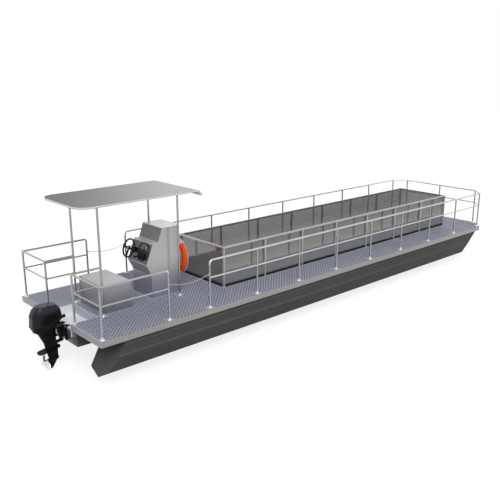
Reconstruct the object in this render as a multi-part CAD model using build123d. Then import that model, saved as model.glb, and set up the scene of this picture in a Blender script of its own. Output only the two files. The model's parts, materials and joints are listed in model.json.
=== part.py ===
"""Pontoon work boat with a railed deck, an open cargo hold, a helm console and an outboard.

Millimetres. The origin is amidships on the centreline at the waterline, +X runs to the bow,
+Y to port and +Z up. Distances called "from the stern" start at the aft edge of the deck.
"""

import os
from math import atan2, cos, radians, sin, sqrt, tan

from build123d import *

os.makedirs("parts", exist_ok=True)

# Joints between welded or bolted pieces
SEAM = 0.3  # gap at a weld between two pieces of one run
RUN_FIT = 0.05  # radial clearance of a turning shaft

# Deck
DECK_LENGTH = 12350.0
DECK_BEAM = 3050.0
DECK_TOP = 570.0  # above the waterline
DECK_PLATE = 8.0
FRAME_DEPTH = 102.0  # edge frame and cross beams under the plate
FRAME_WIDTH = 60.0
BOW_CHAMFER = 350.0
BEAM_PITCH = 600.0
BEAM_WIDTH = 60.0
BEAM_WALL = 6.0

# Motor well in the stern and the sealed pod under it that carries the engine
WELL_WIDTH = 940.0
WELL_LENGTH = 550.0
WELL_DEPTH = 180.0  # deck top to the tray floor
WELL_WALL_LAP = 60.0  # how far the well walls flank the pod
POD_SETBACK = 110.0  # transom face from the stern
POD_DEPTH = 286.0
POD_RISE = 150.0  # upward sweep of the pod's bottom at its forward end

# Pontoons, from the outer top edge inwards and down
PONTOON_INSET = 25.0  # outer wall in from the deck edge
PONTOON_WIDTH = 690.0
STRIP_DEPTH = 100.0  # rubbing strip along the top of the outer wall
STRIP_LEAN = 22.0  # its top edge in from its foot
STRIP_STEP = 8.0  # height of the return under the strip
WALL_TOP_IN = 12.0
WALL_FOOT_IN = 24.0
BEAD_DROP = 260.0  # middle of the folded bead below the pontoon's top
BEAD_IN = 6.0  # its proud lower edge
BEAD_HALF = 16.0
OUTER_CHINE_IN = 20.0
OUTER_CHINE_DROP = 330.0
LOWER_CHINE_IN = 170.0
LOWER_CHINE_DROP = 595.0
KEEL_IN = 360.0
KEEL_DROP = 700.0
INNER_CHINE_IN = 20.0  # in from the inner wall
INNER_CHINE_DROP = 620.0
STERN_TOP_SETBACK = 500.0
STERN_RAKE = 0.55  # aft run of the stern plate for each unit of drop
NOSE_SETBACK = 450.0  # outer top corner of the bow plates, aft of the deck's front edge
NOSE_RAKE = 1.15  # aft run of a bow plate for each unit of drop
NOSE_SWEEP = 2.0  # forward run of a bow plate for each unit towards the keel
STEM_SETBACK = 150.0
STEM_RAKE = 0.45

# Rails
RAIL_RADIUS = 19.0
MID_RAIL_RADIUS = 15.0
RAIL_HEIGHT = 922.0  # deck top to the centre of the top rail
MID_RAIL_HEIGHT = 587.0
RAIL_INSET = 68.0  # post line in from the deck edge
RAIL_BAYS = 8  # along each side, forward of the gate
FOOT_RADIUS = 34.0
FOOT_HEIGHT = 10.0
GATE_AFT = 1432.0  # from the stern
GATE_WIDTH = 931.0
GATE_BEND = 75.0  # centreline radius where the top rail turns down forward of the gate
STERN_BEND = 45.0  # the same aft of the gate
WELL_RAIL_INSET = 35.0  # inner stern rail in from the well's edge

# Gate ropes
ROPE_RADIUS = 6.0
ROPE_HEIGHT = 650.0
EYE_RADIUS = 11.0
EYE_LENGTH = 26.0

# Cargo hold
HOLD_AFT = 3284.0  # from the stern
HOLD_LENGTH = 8100.0
HOLD_WIDTH = 1510.0
HOLD_HEIGHT = 850.0
HOLD_BAYS = 7
HOLD_POST = 40.0
HOLD_RIM = 30.0
HOLD_BASE = 45.0  # dark strip at the foot of the walls
HOLD_BASE_INSET = 8.0
HOLD_PANEL = 8.0
HOLD_FLOOR = 10.0
HOLD_FLOOR_GAP = 3.0  # between the floor's edge and the sheets

# Seat box
SEAT_AFT = 700.0  # from the stern
SEAT_LENGTH = 580.0
SEAT_WIDTH = 900.0
SEAT_HEIGHT = 530.0
SEAT_WALL = 20.0
LID_THICKNESS = 34.0
LID_OVERHANG = 12.0
HINGE_PIN = 5.0
HINGE_BARREL = 9.0
HINGE_LENGTH = 40.0
HINGE_SPACING = 560.0
HINGE_SIDE_GAP = 5.5

# Console
CONSOLE_AFT = 1830.0  # foot of the aft face, from the stern
CONSOLE_LENGTH = 695.0
CONSOLE_WIDTH = 660.0
CONSOLE_HEIGHT = 1376.0
CONSOLE_CORNER = 30.0
CONSOLE_FOLD = 235.0  # folded part of each side, from the front
FOLD_INSET = 18.0
KNEE_HEIGHT = 473.0
DASH_BOTTOM_HEIGHT = 689.0
DASH_BOTTOM_AFT = 110.0  # overhang aft of the foot
LEDGE_HEIGHT = 1085.0
LEDGE_AFT = 53.0  # forward of the foot
LEDGE_DEPTH = 117.0
SCREEN_TOP_AFT = 279.0
PANEL_SHEET = 6.0
PANEL_BORDER = 14.0
LEDGE_SHEET = 10.0

# Helm and throttle on the sloping dash
HELM_TO_PORT = 140.0
HELM_UP_DASH = 228.0  # along the slope from its bottom edge
HELM_STANDOFF = 185.0
WHEEL_RADIUS = 178.0
WHEEL_GRIP = 17.0
WHEEL_HUB = 38.0
WHEEL_HUB_DEPTH = 36.0
SPOKE_WIDTH = 44.0
SPOKE_THICKNESS = 12.0
SPOKE_ANGLES = (0.0, 180.0, 270.0)
HELM_SHAFT = 12.0
HELM_BOSS = 52.0
HELM_BOSS_LENGTH = 110.0
THROTTLE_TO_STARBOARD = 150.0
THROTTLE_UP_DASH = 150.0
THROTTLE_SIZE = (170.0, 130.0, 75.0)
LEVER_RADIUS = 12.0
LEVER_LENGTH = 120.0
LEVER_KNOB = 24.0

# Life ring on the console's front
RING_OUTER = 400.0
RING_WIDTH = 150.0
RING_THICKNESS = 120.0
RING_HEIGHT = 670.0
RING_GAP = 60.0
BRACKET_WIDTH = 160.0
BRACKET_SHEET = 8.0
BRACKET_LIP = 60.0
PEG_RADIUS = 14.0

# Canopy
CANOPY_AFT = 180.0  # from the stern
CANOPY_LENGTH = 2530.0
CANOPY_WIDTH = 1460.0
CANOPY_TOP = 2100.0
CANOPY_THICKNESS = 40.0
CANOPY_CORNER = 250.0
VISOR_REACH = 105.0
VISOR_DROP = 95.0
VISOR_BEND = 60.0
CANOPY_POST_RADIUS = 21.0
CANOPY_POST_AFT = 641.0
CANOPY_POST_FORWARD = 2360.0

# Outboard: the tilt axis lies just aft of the transom, the steering axis aft of that
TILT_SETBACK = 35.0
TILT_RISE = 12.0  # above the tray floor
TILT_TUBE = 12.0
TILT_SLEEVE = 26.0
CHEEK_GAP = 180.0
CHEEK_THICKNESS = 14.0
CHEEK_DEPTH = 260.0
CHEEK_RISE = 45.0
CHEEK_HOOK = 60.0
CHEEK_WIDTH = 70.0
STEER_SETBACK = 95.0  # aft of the tilt axis
STEER_SHAFT = 14.0
STEER_SLEEVE = 30.0
SLEEVE_TOP = 10.0  # above the tray floor
SLEEVE_LENGTH = 240.0
SWIVEL_WEB = 60.0
MOVE_GAP = 6.0  # between pieces that move past each other
YOKE_HEIGHT = 22.0
YOKE_WIDTH = 90.0
MOTOR_RAKE = 10.0  # degrees, foot of the leg forward
LEG_SETBACK = 95.0  # front of the leg aft of the steering axis
COWL_RISE = 203.0  # foot of the cowl above the tilt axis
COWL_SETBACK = 183.0  # middle of the cowl's foot aft of the steering axis
COWL_WALL = 7.0
COWL_FOOT = (587.0, 320.0, 110.0)  # length, width, corner radius
# Length, width, corner radius, rise above the foot, shift forward, degrees nose down
COWL_WAIST = (540.0, 345.0, 130.0, 175.0, 20.0, 3.0)
COWL_SHOULDER = (478.0, 305.0, 120.0, 243.0, 44.0, 10.0)
COWL_CROWN = (354.0, 205.0, 85.0, 305.0, 60.0, 11.0)
PAN_FOOT = (452.0, 240.0, 100.0)
PAN_DEPTH = 115.0
PAN_SHIFT = 47.0  # aft of the middle of the cowl's foot
POWERHEAD_SIZE = (340.0, 200.0, 190.0)
# Length, width, front aft of the steering axis, drop below the tilt axis
LEG_TOP = (375.0, 200.0, 50.0, -88.0)
LEG_SHOULDER = (328.0, 175.0, 55.0, 2.0)
LEG_WAIST = (234.0, 145.0, 93.0, 197.0)
LEG_FOOT_SIZE = (232.0, 120.0)
PLATE_DROP = 332.0  # anti-ventilation plate below the tilt axis
PLATE_THICKNESS = 12.0
PLATE_LENGTH = 433.0
PLATE_WIDTH = 200.0
PLATE_CORNER = 80.0
PLATE_SETBACK = 53.0
TORPEDO_DROP = 550.0
TORPEDO_RADIUS = 46.0
TORPEDO_LENGTH = 225.0
TORPEDO_SETBACK = 120.0  # tip of its nose aft of the steering axis
TORPEDO_NOSE = 90.0
TAIL_TAPER = 5.0
SKEG_DROP = 710.0
SKEG_THICKNESS = 14.0
SKEG_TIP_AFT = 14.0  # forward of the torpedo's tail
SKEG_TIP_LENGTH = 45.0
STRUT_TOP_SIZE = (232.0, 66.0)
STRUT_FOOT_SIZE = (180.0, 50.0)
STRUT_SWEEP = 35.0  # front of its foot aft of its top
ARM_REACH = 190.0  # forward of the steering axis
ARM_GRIP = 30.0
ARM_RISE = 158.0  # above the tilt axis
PROP_RADIUS = 145.0
PROP_HUB = 40.0
PROP_HUB_LENGTH = 90.0
PROP_BLADES = 3
PROP_GAP = 6.0
PROP_SHAFT = 11.0
PROP_SHAFT_LENGTH = 80.0

# Derived places
STERN = -DECK_LENGTH / 2
BOW = DECK_LENGTH / 2
FRAME_TOP = DECK_TOP - DECK_PLATE
PONTOON_TOP = FRAME_TOP - FRAME_DEPTH
TRAY_FLOOR = DECK_TOP - WELL_DEPTH
TRANSOM = STERN + POD_SETBACK
PORT_AND_STARBOARD = (1, -1)


def save(node, *shapes):
    """Write the solids of one node to its STEP file."""
    solids = [solid for shape in shapes for solid in shape.solids()]
    export_step(solids[0] if len(solids) == 1 else Compound(solids), f"parts/{node}.step")


def block(x_range, y_range, z_range):
    """Box between two limits along each axis."""
    size = [high - low for low, high in (x_range, y_range, z_range)]
    middle = [(high + low) / 2 for low, high in (x_range, y_range, z_range)]
    return Pos(*middle) * Box(*size)


def bar(start, end, radius):
    """Round bar from one point to another."""
    run = Vector(*end) - Vector(*start)
    return extrude(Plane(origin=start, z_dir=run) * Circle(radius), run.length)


def profile(points):
    """Side view (x, z) as a face on the centreline."""
    return make_face(Polyline(*[(x, 0, z) for x, z in points], close=True))


def side_plate(points, y_range):
    """Side view (x, z) pulled out between two y limits."""
    low, high = y_range
    return Pos(0, high, 0) * extrude(profile(points), high - low, dir=(0, -1, 0))


def deck_corners(inset):
    """Corners of the deck's edge in plan, moved in by a distance, from the starboard quarter on.

    The order is starboard quarter, starboard bow chamfer, port bow chamfer, port quarter, and
    then the motor well from port to starboard.
    """
    side = DECK_BEAM / 2 - inset
    stern, bow = STERN + inset, BOW - inset
    cut = BOW_CHAMFER - inset * (2 - sqrt(2))
    well_side = WELL_WIDTH / 2 + inset
    well_front = STERN + WELL_LENGTH + inset
    half = [(stern, -side), (bow - cut, -side), (bow, cut - side)]
    other_half = [(x, -y) for x, y in reversed(half)]
    well = [(stern, well_side), (well_front, well_side), (well_front, -well_side), (stern, -well_side)]
    return half + other_half + well


def build_deck():
    """Deck plate, edge frame, cross beams, well walls and engine pod."""
    outer, inner = deck_corners(0), deck_corners(FRAME_WIDTH)
    save("deck_plate", extrude(Pos(0, 0, FRAME_TOP) * make_face(Polyline(*outer, close=True)), DECK_PLATE))

    edge_bars, well_walls = [], []
    first_well_corner = 6
    for index, corner in enumerate(outer):
        following = (index + 1) % len(outer)
        face = make_face(Polyline(corner, outer[following], inner[following], inner[index], close=True))
        face = offset(face, -SEAM / 2, kind=Kind.INTERSECTION)
        in_well = first_well_corner <= index < len(outer) - 1
        depth = WELL_DEPTH + WELL_WALL_LAP - DECK_PLATE if in_well else FRAME_DEPTH
        run = extrude(Pos(0, 0, FRAME_TOP) * face, -depth)
        (well_walls if in_well else edge_bars).append(run)
    save("deck_edge_frame", *edge_bars)
    save("well_walls", *well_walls)

    half_span = DECK_BEAM / 2 - FRAME_WIDTH - SEAM
    first = STERN + WELL_LENGTH + FRAME_WIDTH + BEAM_WIDTH
    last = inner[1][0] - BEAM_WIDTH
    count = int((last - first) / BEAM_PITCH) + 1
    channel = Box(BEAM_WIDTH, 2 * half_span, FRAME_DEPTH)
    hollow = Pos(BEAM_WALL, 0, 0) * Box(BEAM_WIDTH, 2 * half_span, FRAME_DEPTH - 2 * BEAM_WALL)
    beam = channel - hollow
    middle = FRAME_TOP - FRAME_DEPTH / 2
    save("cross_beams", *[Pos(first + step * BEAM_PITCH, 0, middle) * beam for step in range(count)])

    bottom = TRAY_FLOOR - POD_DEPTH
    front = STERN + WELL_LENGTH
    outline = [
        (TRANSOM, TRAY_FLOOR),
        (TRANSOM, bottom),
        (front - POD_RISE, bottom),
        (front, bottom + POD_RISE),
        (front, TRAY_FLOOR),
    ]
    save("engine_pod", side_plate(outline, (-WELL_WIDTH / 2, WELL_WIDTH / 2)))


def build_pontoons():
    """Two faceted floats with raked stern plates and swept bow plates."""
    outer = DECK_BEAM / 2 - PONTOON_INSET
    inner_chine = PONTOON_WIDTH - INNER_CHINE_IN
    section = [
        (STRIP_LEAN, 0),
        (0, STRIP_DEPTH),
        (WALL_TOP_IN, STRIP_DEPTH + STRIP_STEP),
        (WALL_FOOT_IN, BEAD_DROP - BEAD_HALF),
        (BEAD_IN, BEAD_DROP + BEAD_HALF),
        (OUTER_CHINE_IN, OUTER_CHINE_DROP),
        (LOWER_CHINE_IN, LOWER_CHINE_DROP),
        (KEEL_IN, KEEL_DROP),
        (inner_chine, INNER_CHINE_DROP),
        (PONTOON_WIDTH, INNER_CHINE_DROP - INNER_CHINE_IN),
        (PONTOON_WIDTH, 0),
    ]
    outline = Polyline(*[(0, outer - inward, PONTOON_TOP - drop) for inward, drop in section], close=True)
    hull = Pos(STERN, 0, 0) * extrude(make_face(outline), DECK_LENGTH, dir=(1, 0, 0))

    stern_point = (STERN + STERN_TOP_SETBACK, 0, PONTOON_TOP)
    hull = split(hull, bisect_by=Plane(stern_point, z_dir=(-1, 0, STERN_RAKE)), keep=Keep.BOTTOM)
    stem_point = (BOW - STEM_SETBACK, 0, PONTOON_TOP)
    hull = split(hull, bisect_by=Plane(stem_point, z_dir=(1, 0, -STEM_RAKE)), keep=Keep.BOTTOM)
    for side in (1, -1):
        nose_y = outer - KEEL_IN + side * (KEEL_IN - OUTER_CHINE_IN)
        nose_point = (BOW - NOSE_SETBACK, nose_y, PONTOON_TOP)
        nose_plane = Plane(nose_point, z_dir=(1, side * NOSE_SWEEP, -NOSE_RAKE))
        hull = split(hull, bisect_by=nose_plane, keep=Keep.BOTTOM)
    save("pontoon_port", hull)
    save("pontoon_starboard", mirror(hull, about=Plane.XZ))


def rail_runs(points, radius):
    """Straight bars along a line of points, mitred with a weld gap at the corners between them."""
    runs = []
    for index in range(len(points) - 1):
        start, end = Vector(*points[index]), Vector(*points[index + 1])
        along = (end - start).normalized()
        reach_back = radius if index > 0 else 0
        reach_on = radius if index + 2 < len(points) else 0
        run = bar(start - along * reach_back, end + along * reach_on, radius)
        if reach_back:
            before = (start - Vector(*points[index - 1])).normalized()
            mitre = Plane(start + along * SEAM / 2, z_dir=-(before + along))
            run = split(run, bisect_by=mitre, keep=Keep.BOTTOM)
        if reach_on:
            after = (Vector(*points[index + 2]) - end).normalized()
            mitre = Plane(end - along * SEAM / 2, z_dir=along + after)
            run = split(run, bisect_by=mitre, keep=Keep.BOTTOM)
        runs.append(run)
    return runs


def coped_rail(start, end, radius, start_post, end_post):
    """Straight bar between two posts, hollowed at each end to the post's round."""
    rail = bar(start, end, radius)
    for (x, y, z), post in ((start, start_post), (end, end_post)):
        rail -= Pos(x, y, z) * Cylinder(post + SEAM, 4 * radius)
    return rail


def rail_post(x, y, height, directions):
    """Post on a round foot, its head hollowed to the rails that lie on it."""
    post = Cylinder(RAIL_RADIUS, height, align=(Align.CENTER, Align.CENTER, Align.MIN))
    post += Cylinder(FOOT_RADIUS, FOOT_HEIGHT, align=(Align.CENTER, Align.CENTER, Align.MIN))
    for direction in directions:
        reach = Vector(*direction) * 2 * RAIL_RADIUS
        head = Vector(0, 0, height)
        post -= bar(head - reach, head + reach, RAIL_RADIUS + SEAM)
    return Pos(x, y, DECK_TOP) * post


def gate_bend(x, y, forward, radius):
    """Quarter bend from a gate post into the top rail, which runs off forward or aft."""
    centre_x = x + forward * radius
    low = DECK_TOP + RAIL_HEIGHT - radius
    circle = Pos(x, y, low) * Circle(RAIL_RADIUS)
    axis = Axis((centre_x, y, low), (0, forward, 0))
    return revolve(circle, axis, 90)


def build_rails():
    """Posts, top rails, mid rails and gate bends of the forward rail and the two stern blocks."""
    corners = deck_corners(RAIL_INSET)
    top, middle = DECK_TOP + RAIL_HEIGHT, DECK_TOP + MID_RAIL_HEIGHT
    gate_aft, gate_forward = STERN + GATE_AFT, STERN + GATE_AFT + GATE_WIDTH
    along, across = (1, 0, 0), (0, 1, 0)
    chamfer_x, side_y = corners[4]
    bow_x, bow_y = corners[3]

    posts, mids, bends = [], [], []
    pitch = (chamfer_x - gate_forward) / RAIL_BAYS
    for side in PORT_AND_STARBOARD:
        y = side * side_y
        slant = Vector(bow_x - chamfer_x, side * (bow_y - side_y), 0).normalized()
        stations = [gate_forward + bay * pitch for bay in range(RAIL_BAYS + 1)]
        posts.append(rail_post(gate_forward, y, RAIL_HEIGHT - GATE_BEND, []))
        posts += [rail_post(x, y, RAIL_HEIGHT, [along]) for x in stations[1:-1]]
        posts.append(rail_post(chamfer_x, y, RAIL_HEIGHT, [along, slant]))
        posts.append(rail_post(bow_x, side * bow_y, RAIL_HEIGHT, [across, slant]))
        places = [(x, y, middle) for x in stations] + [(bow_x, side * bow_y, middle), (bow_x, 0, middle)]
        for start, end in zip(places, places[1:]):
            mids.append(coped_rail(start, end, MID_RAIL_RADIUS, RAIL_RADIUS, RAIL_RADIUS))
        bends.append(gate_bend(gate_forward, y, 1, GATE_BEND))
    posts.append(rail_post(bow_x, 0, RAIL_HEIGHT, [across]))
    line = [(gate_forward + GATE_BEND, -side_y, top)]
    line += [(x, y, top) for x, y in corners[1:5]]
    line += [(gate_forward + GATE_BEND, side_y, top)]
    save("forward_rail_posts", *posts)
    save("forward_top_rail", *rail_runs(line, RAIL_RADIUS))
    save("forward_mid_rail", *mids)

    posts, tops, mids = [], [], []
    stern_x = corners[5][0]
    well_y = WELL_WIDTH / 2 + WELL_RAIL_INSET
    canopy_x = STERN + CANOPY_POST_AFT
    for side in PORT_AND_STARBOARD:
        outer_y, inner_y = side * side_y, side * well_y
        posts.append(rail_post(gate_aft, outer_y, RAIL_HEIGHT - STERN_BEND, []))
        posts.append(rail_post(stern_x, outer_y, RAIL_HEIGHT, [along, across]))
        posts.append(rail_post(stern_x, inner_y, RAIL_HEIGHT, [along, across]))
        bends.append(gate_bend(gate_aft, outer_y, -1, STERN_BEND))
        plan = [(gate_aft, outer_y), (stern_x, outer_y), (stern_x, inner_y)]
        places = [(x, y, middle) for x, y in plan]
        for start, end in zip(places, places[1:]):
            mids.append(coped_rail(start, end, MID_RAIL_RADIUS, RAIL_RADIUS, RAIL_RADIUS))
        canopy_end = (canopy_x, inner_y, middle)
        mids.append(coped_rail(places[-1], canopy_end, MID_RAIL_RADIUS, RAIL_RADIUS, CANOPY_POST_RADIUS))
        line = [(gate_aft - STERN_BEND, outer_y, top), (stern_x, outer_y, top)]
        line += [(stern_x, inner_y, top), (canopy_x, inner_y, top)]
        runs = rail_runs(line, RAIL_RADIUS)
        runs[-1] -= Pos(canopy_x, inner_y, top) * Cylinder(CANOPY_POST_RADIUS + SEAM, 4 * RAIL_RADIUS)
        tops += runs
    save("stern_rail_posts", *posts)
    save("stern_top_rails", *tops)
    save("stern_mid_rails", *mids)
    save("gate_bends", *bends)


def build_gate_ropes():
    """A slack rope across each gate, hung between an eye on either post."""
    start_x = STERN + GATE_AFT + RAIL_RADIUS + EYE_LENGTH
    end_x = STERN + GATE_AFT + GATE_WIDTH - RAIL_RADIUS - EYE_LENGTH
    side_y = DECK_BEAM / 2 - RAIL_INSET
    height = DECK_TOP + ROPE_HEIGHT
    # Share of the span and drop in millimetres
    route = [(0.0, 0.0), (0.165, 33.0), (0.335, 56.0), (0.5, 65.0), (0.665, 57.0), (0.835, 34.0), (1.0, 0.0)]
    eyes = []
    for side, name in zip(PORT_AND_STARBOARD, ("port", "starboard")):
        y = side * side_y
        points = [Vector(start_x + share * (end_x - start_x), y, height - drop) for share, drop in route]
        radii = []
        for before, point, after in zip(points, points[1:], points[2:]):
            turn = radians((point - before).get_angle(after - point))
            shorter = min((point - before).length, (after - point).length)
            radii.append(0.45 * shorter / tan(turn / 2))
        path = FilletPolyline(*points, radius=radii)
        first_run = points[1] - points[0]
        rope = sweep(Plane(points[0], z_dir=first_run) * Circle(ROPE_RADIUS), path=path)
        solid_share = rope.volume / (Circle(ROPE_RADIUS).area * path.length)
        print(name, "gate rope length", round(path.length, 1), "radii", [round(radius) for radius in radii])
        print(name, "gate rope volume over section times length", round(solid_share, 4))
        save(f"gate_rope_{name}", rope)
        for post_x, point, outward in (
            (STERN + GATE_AFT, points[0], points[1] - points[0]),
            (STERN + GATE_AFT + GATE_WIDTH, points[-1], points[-2] - points[-1]),
        ):
            back = outward.normalized() * (EYE_LENGTH + RAIL_RADIUS)
            eye = bar(point - back, point, EYE_RADIUS)
            eyes.append(eye - Pos(post_x, y, height) * Cylinder(RAIL_RADIUS + SEAM, 8 * EYE_RADIUS))
    save("rope_eyes", *eyes)


def build_hold():
    """Open-topped cargo box: floor, base strips, posts, a top rim and sheets on the inside of them."""
    aft, forward = STERN + HOLD_AFT, STERN + HOLD_AFT + HOLD_LENGTH
    side = HOLD_WIDTH / 2
    rim_foot = DECK_TOP + HOLD_HEIGHT - HOLD_RIM
    strip_top = DECK_TOP + HOLD_BASE
    pitch = (HOLD_LENGTH - HOLD_POST) / HOLD_BAYS
    half_post = HOLD_POST / 2
    stations = [aft + half_post + bay * pitch for bay in range(HOLD_BAYS + 1)]
    post_y = side - half_post

    posts = []
    for x in stations:
        for y in (post_y, -post_y):
            post_x, post_width = (x - half_post, x + half_post), (y - half_post, y + half_post)
            posts.append(block(post_x, post_width, (DECK_TOP, rim_foot)))
    save("hold_posts", *posts)

    rims = []
    rim_z = (rim_foot, rim_foot + HOLD_RIM)
    for edge in (post_y, -post_y):
        rims.append(block((aft, forward), (edge - half_post, edge + half_post), rim_z))
    between = (HOLD_POST + SEAM - side, side - HOLD_POST - SEAM)
    for edge in (stations[0], stations[-1]):
        rims.append(block((edge - half_post, edge + half_post), between, rim_z))
    save("hold_rim", *rims)

    strip_half = half_post - HOLD_BASE_INSET
    sheet_z = (DECK_TOP, rim_foot + HOLD_RIM)
    sheet_out = side - HOLD_POST
    sheet_in = sheet_out - HOLD_PANEL
    joints = [aft + HOLD_POST, *stations[1:-1], forward - HOLD_POST]
    strips = []
    for name, hand in (("port", 1), ("starboard", -1)):
        sheet_y = sorted((hand * sheet_in, hand * sheet_out))
        panels = [block((start, end - SEAM), sheet_y, sheet_z) for start, end in zip(joints, joints[1:])]
        save(f"hold_panels_{name}", *panels)
        y = hand * post_y
        for start, end in zip(stations, stations[1:]):
            span = (start + half_post, end - half_post)
            strips.append(block(span, (y - strip_half, y + strip_half), (DECK_TOP, strip_top)))
    strip_span = (half_post - post_y, post_y - half_post)
    sheet_span = (SEAM - sheet_in, sheet_in - SEAM)
    for name, x, inward in (("aft", stations[0], 1), ("forward", stations[-1], -1)):
        sheet_x = sorted((x + inward * half_post, x + inward * (half_post + HOLD_PANEL)))
        save(f"hold_panel_{name}", block(sheet_x, sheet_span, sheet_z))
        strips.append(block((x - strip_half, x + strip_half), strip_span, (DECK_TOP, strip_top)))
    save("hold_base_strips", *strips)

    floor_edge = HOLD_POST + HOLD_PANEL + HOLD_FLOOR_GAP
    floor_x = (aft + floor_edge, forward - floor_edge)
    floor_y = (floor_edge - side, side - floor_edge)
    save("hold_floor", block(floor_x, floor_y, (DECK_TOP, DECK_TOP + HOLD_FLOOR)))


def build_seat():
    """Seat box with a hinged lid on two barrel hinges along its aft edge."""
    aft, forward = STERN + SEAT_AFT, STERN + SEAT_AFT + SEAT_LENGTH
    side = SEAT_WIDTH / 2
    rim = DECK_TOP + SEAT_HEIGHT - LID_THICKNESS
    inner_x = (aft + SEAT_WALL + SEAM, forward - SEAT_WALL - SEAM)
    inner_y = (SEAT_WALL - side, side - SEAT_WALL)
    floor_top = DECK_TOP + SEAT_WALL
    panels = [
        block((aft, aft + SEAT_WALL), (-side, side), (DECK_TOP, rim)),
        block((forward - SEAT_WALL, forward), (-side, side), (DECK_TOP, rim)),
        block(inner_x, (-side, SEAT_WALL - side), (DECK_TOP, rim)),
        block(inner_x, (side - SEAT_WALL, side), (DECK_TOP, rim)),
        block(inner_x, (inner_y[0] + SEAM, inner_y[1] - SEAM), (DECK_TOP, floor_top)),
    ]
    save("seat_box", *panels)

    hinge_x, hinge_z = aft - HINGE_BARREL - 1, rim
    lid_side = side + LID_OVERHANG
    lid = block((aft, forward + LID_OVERHANG), (-lid_side, lid_side), (rim, rim + LID_THICKNESS))
    lid = fillet(lid.edges().group_by(Axis.Z)[-1], LID_THICKNESS / 5)
    pins = []
    for y in (HINGE_SPACING / 2, -HINGE_SPACING / 2):
        low, high = y - HINGE_LENGTH / 2, y + HINGE_LENGTH / 2
        barrel = bar((hinge_x, low, hinge_z), (hinge_x, high, hinge_z), HINGE_BARREL)
        barrel += block((hinge_x, aft), (low, high), (hinge_z, hinge_z + HINGE_BARREL))
        barrel -= bar((hinge_x, low, hinge_z), (hinge_x, high, hinge_z), HINGE_PIN + RUN_FIT)
        lid += barrel
        end_low, end_high = low - HINGE_SIDE_GAP - HINGE_LENGTH / 2, high + HINGE_SIDE_GAP + HINGE_LENGTH / 2
        pin = bar((hinge_x, end_low, hinge_z), (hinge_x, end_high, hinge_z), HINGE_PIN)
        for ear in ((end_low, low - HINGE_SIDE_GAP), (high + HINGE_SIDE_GAP, end_high)):
            pin += bar((hinge_x, ear[0], hinge_z), (hinge_x, ear[1], hinge_z), HINGE_BARREL)
            pin += block((hinge_x, aft), ear, (hinge_z - 4 * HINGE_BARREL, hinge_z))
        pins.append(pin)
    save("seat_lid", lid)
    save("seat_hinges", *pins)


def dash_frame():
    """Plane on the sloping dash and its length up the slope.

    The origin is at the middle of the bottom edge, x to starboard, y up the slope, z outwards.
    """
    bottom = (STERN + CONSOLE_AFT - DASH_BOTTOM_AFT, DECK_TOP + DASH_BOTTOM_HEIGHT)
    top = (STERN + CONSOLE_AFT + LEDGE_AFT, DECK_TOP + LEDGE_HEIGHT)
    run, rise = top[0] - bottom[0], top[1] - bottom[1]
    plane = Plane((bottom[0], 0, bottom[1]), x_dir=(0, -1, 0), z_dir=(-rise, 0, run))
    return plane, sqrt(run**2 + rise**2)


def build_console():
    """Console body with its dash, ledge and screen sheets."""
    foot, front = STERN + CONSOLE_AFT, STERN + CONSOLE_AFT + CONSOLE_LENGTH
    knee = (foot, DECK_TOP + KNEE_HEIGHT)
    dash_bottom = (foot - DASH_BOTTOM_AFT, DECK_TOP + DASH_BOTTOM_HEIGHT)
    ledge_outer = (foot + LEDGE_AFT, DECK_TOP + LEDGE_HEIGHT)
    ledge_inner = (ledge_outer[0] + LEDGE_DEPTH, ledge_outer[1])
    top_aft = (foot + SCREEN_TOP_AFT, DECK_TOP + CONSOLE_HEIGHT)
    outline = [(foot, DECK_TOP), knee, dash_bottom, ledge_outer, ledge_inner, top_aft]
    outline += [(front, DECK_TOP + CONSOLE_HEIGHT), (front, DECK_TOP)]
    half = CONSOLE_WIDTH / 2
    plan = [(dash_bottom[0], half), (front - CONSOLE_FOLD, half), (front, half - FOLD_INSET)]
    plan += [(x, -y) for x, y in reversed(plan)]
    column = extrude(make_face(Polyline(*plan, close=True)), CONSOLE_HEIGHT)
    body = side_plate(outline, (-half, half)) & Pos(0, 0, DECK_TOP) * column
    front_edges = body.edges().filter_by(Axis.Z).group_by(Axis.X)[-1]
    save("console_body", fillet(front_edges, CONSOLE_CORNER))

    sheet_width = CONSOLE_WIDTH - 2 * PANEL_BORDER
    dash, dash_length = dash_frame()
    sheet = Box(sheet_width, dash_length - 2 * PANEL_BORDER, PANEL_SHEET)
    save("dash_panel", dash * Pos(0, dash_length / 2, PANEL_SHEET / 2) * sheet)

    run, rise = top_aft[0] - ledge_inner[0], top_aft[1] - ledge_inner[1]
    slope = sqrt(run**2 + rise**2)
    screen = Plane((ledge_inner[0], 0, ledge_inner[1]), x_dir=(0, -1, 0), z_dir=(-rise, 0, run))
    foot_clear = LEDGE_SHEET + PANEL_BORDER
    screen_length = slope - foot_clear - PANEL_BORDER
    sheet = Box(sheet_width, screen_length, PANEL_SHEET)
    save("console_screen", screen * Pos(0, foot_clear + screen_length / 2, PANEL_SHEET / 2) * sheet)

    ledge_x = (ledge_outer[0], ledge_inner[0])
    ledge = block(ledge_x, (-half, half), (ledge_outer[1], ledge_outer[1] + LEDGE_SHEET))
    ledge = fillet(ledge.edges().filter_by(Axis.Y).group_by(Axis.X)[0], LEDGE_SHEET / 3)
    ledge -= body
    ledge_end = Plane((ledge_inner[0] - SEAM, 0, 0), z_dir=(1, 0, 0))
    save("console_ledge", split(ledge, ledge_end, keep=Keep.BOTTOM))


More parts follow.
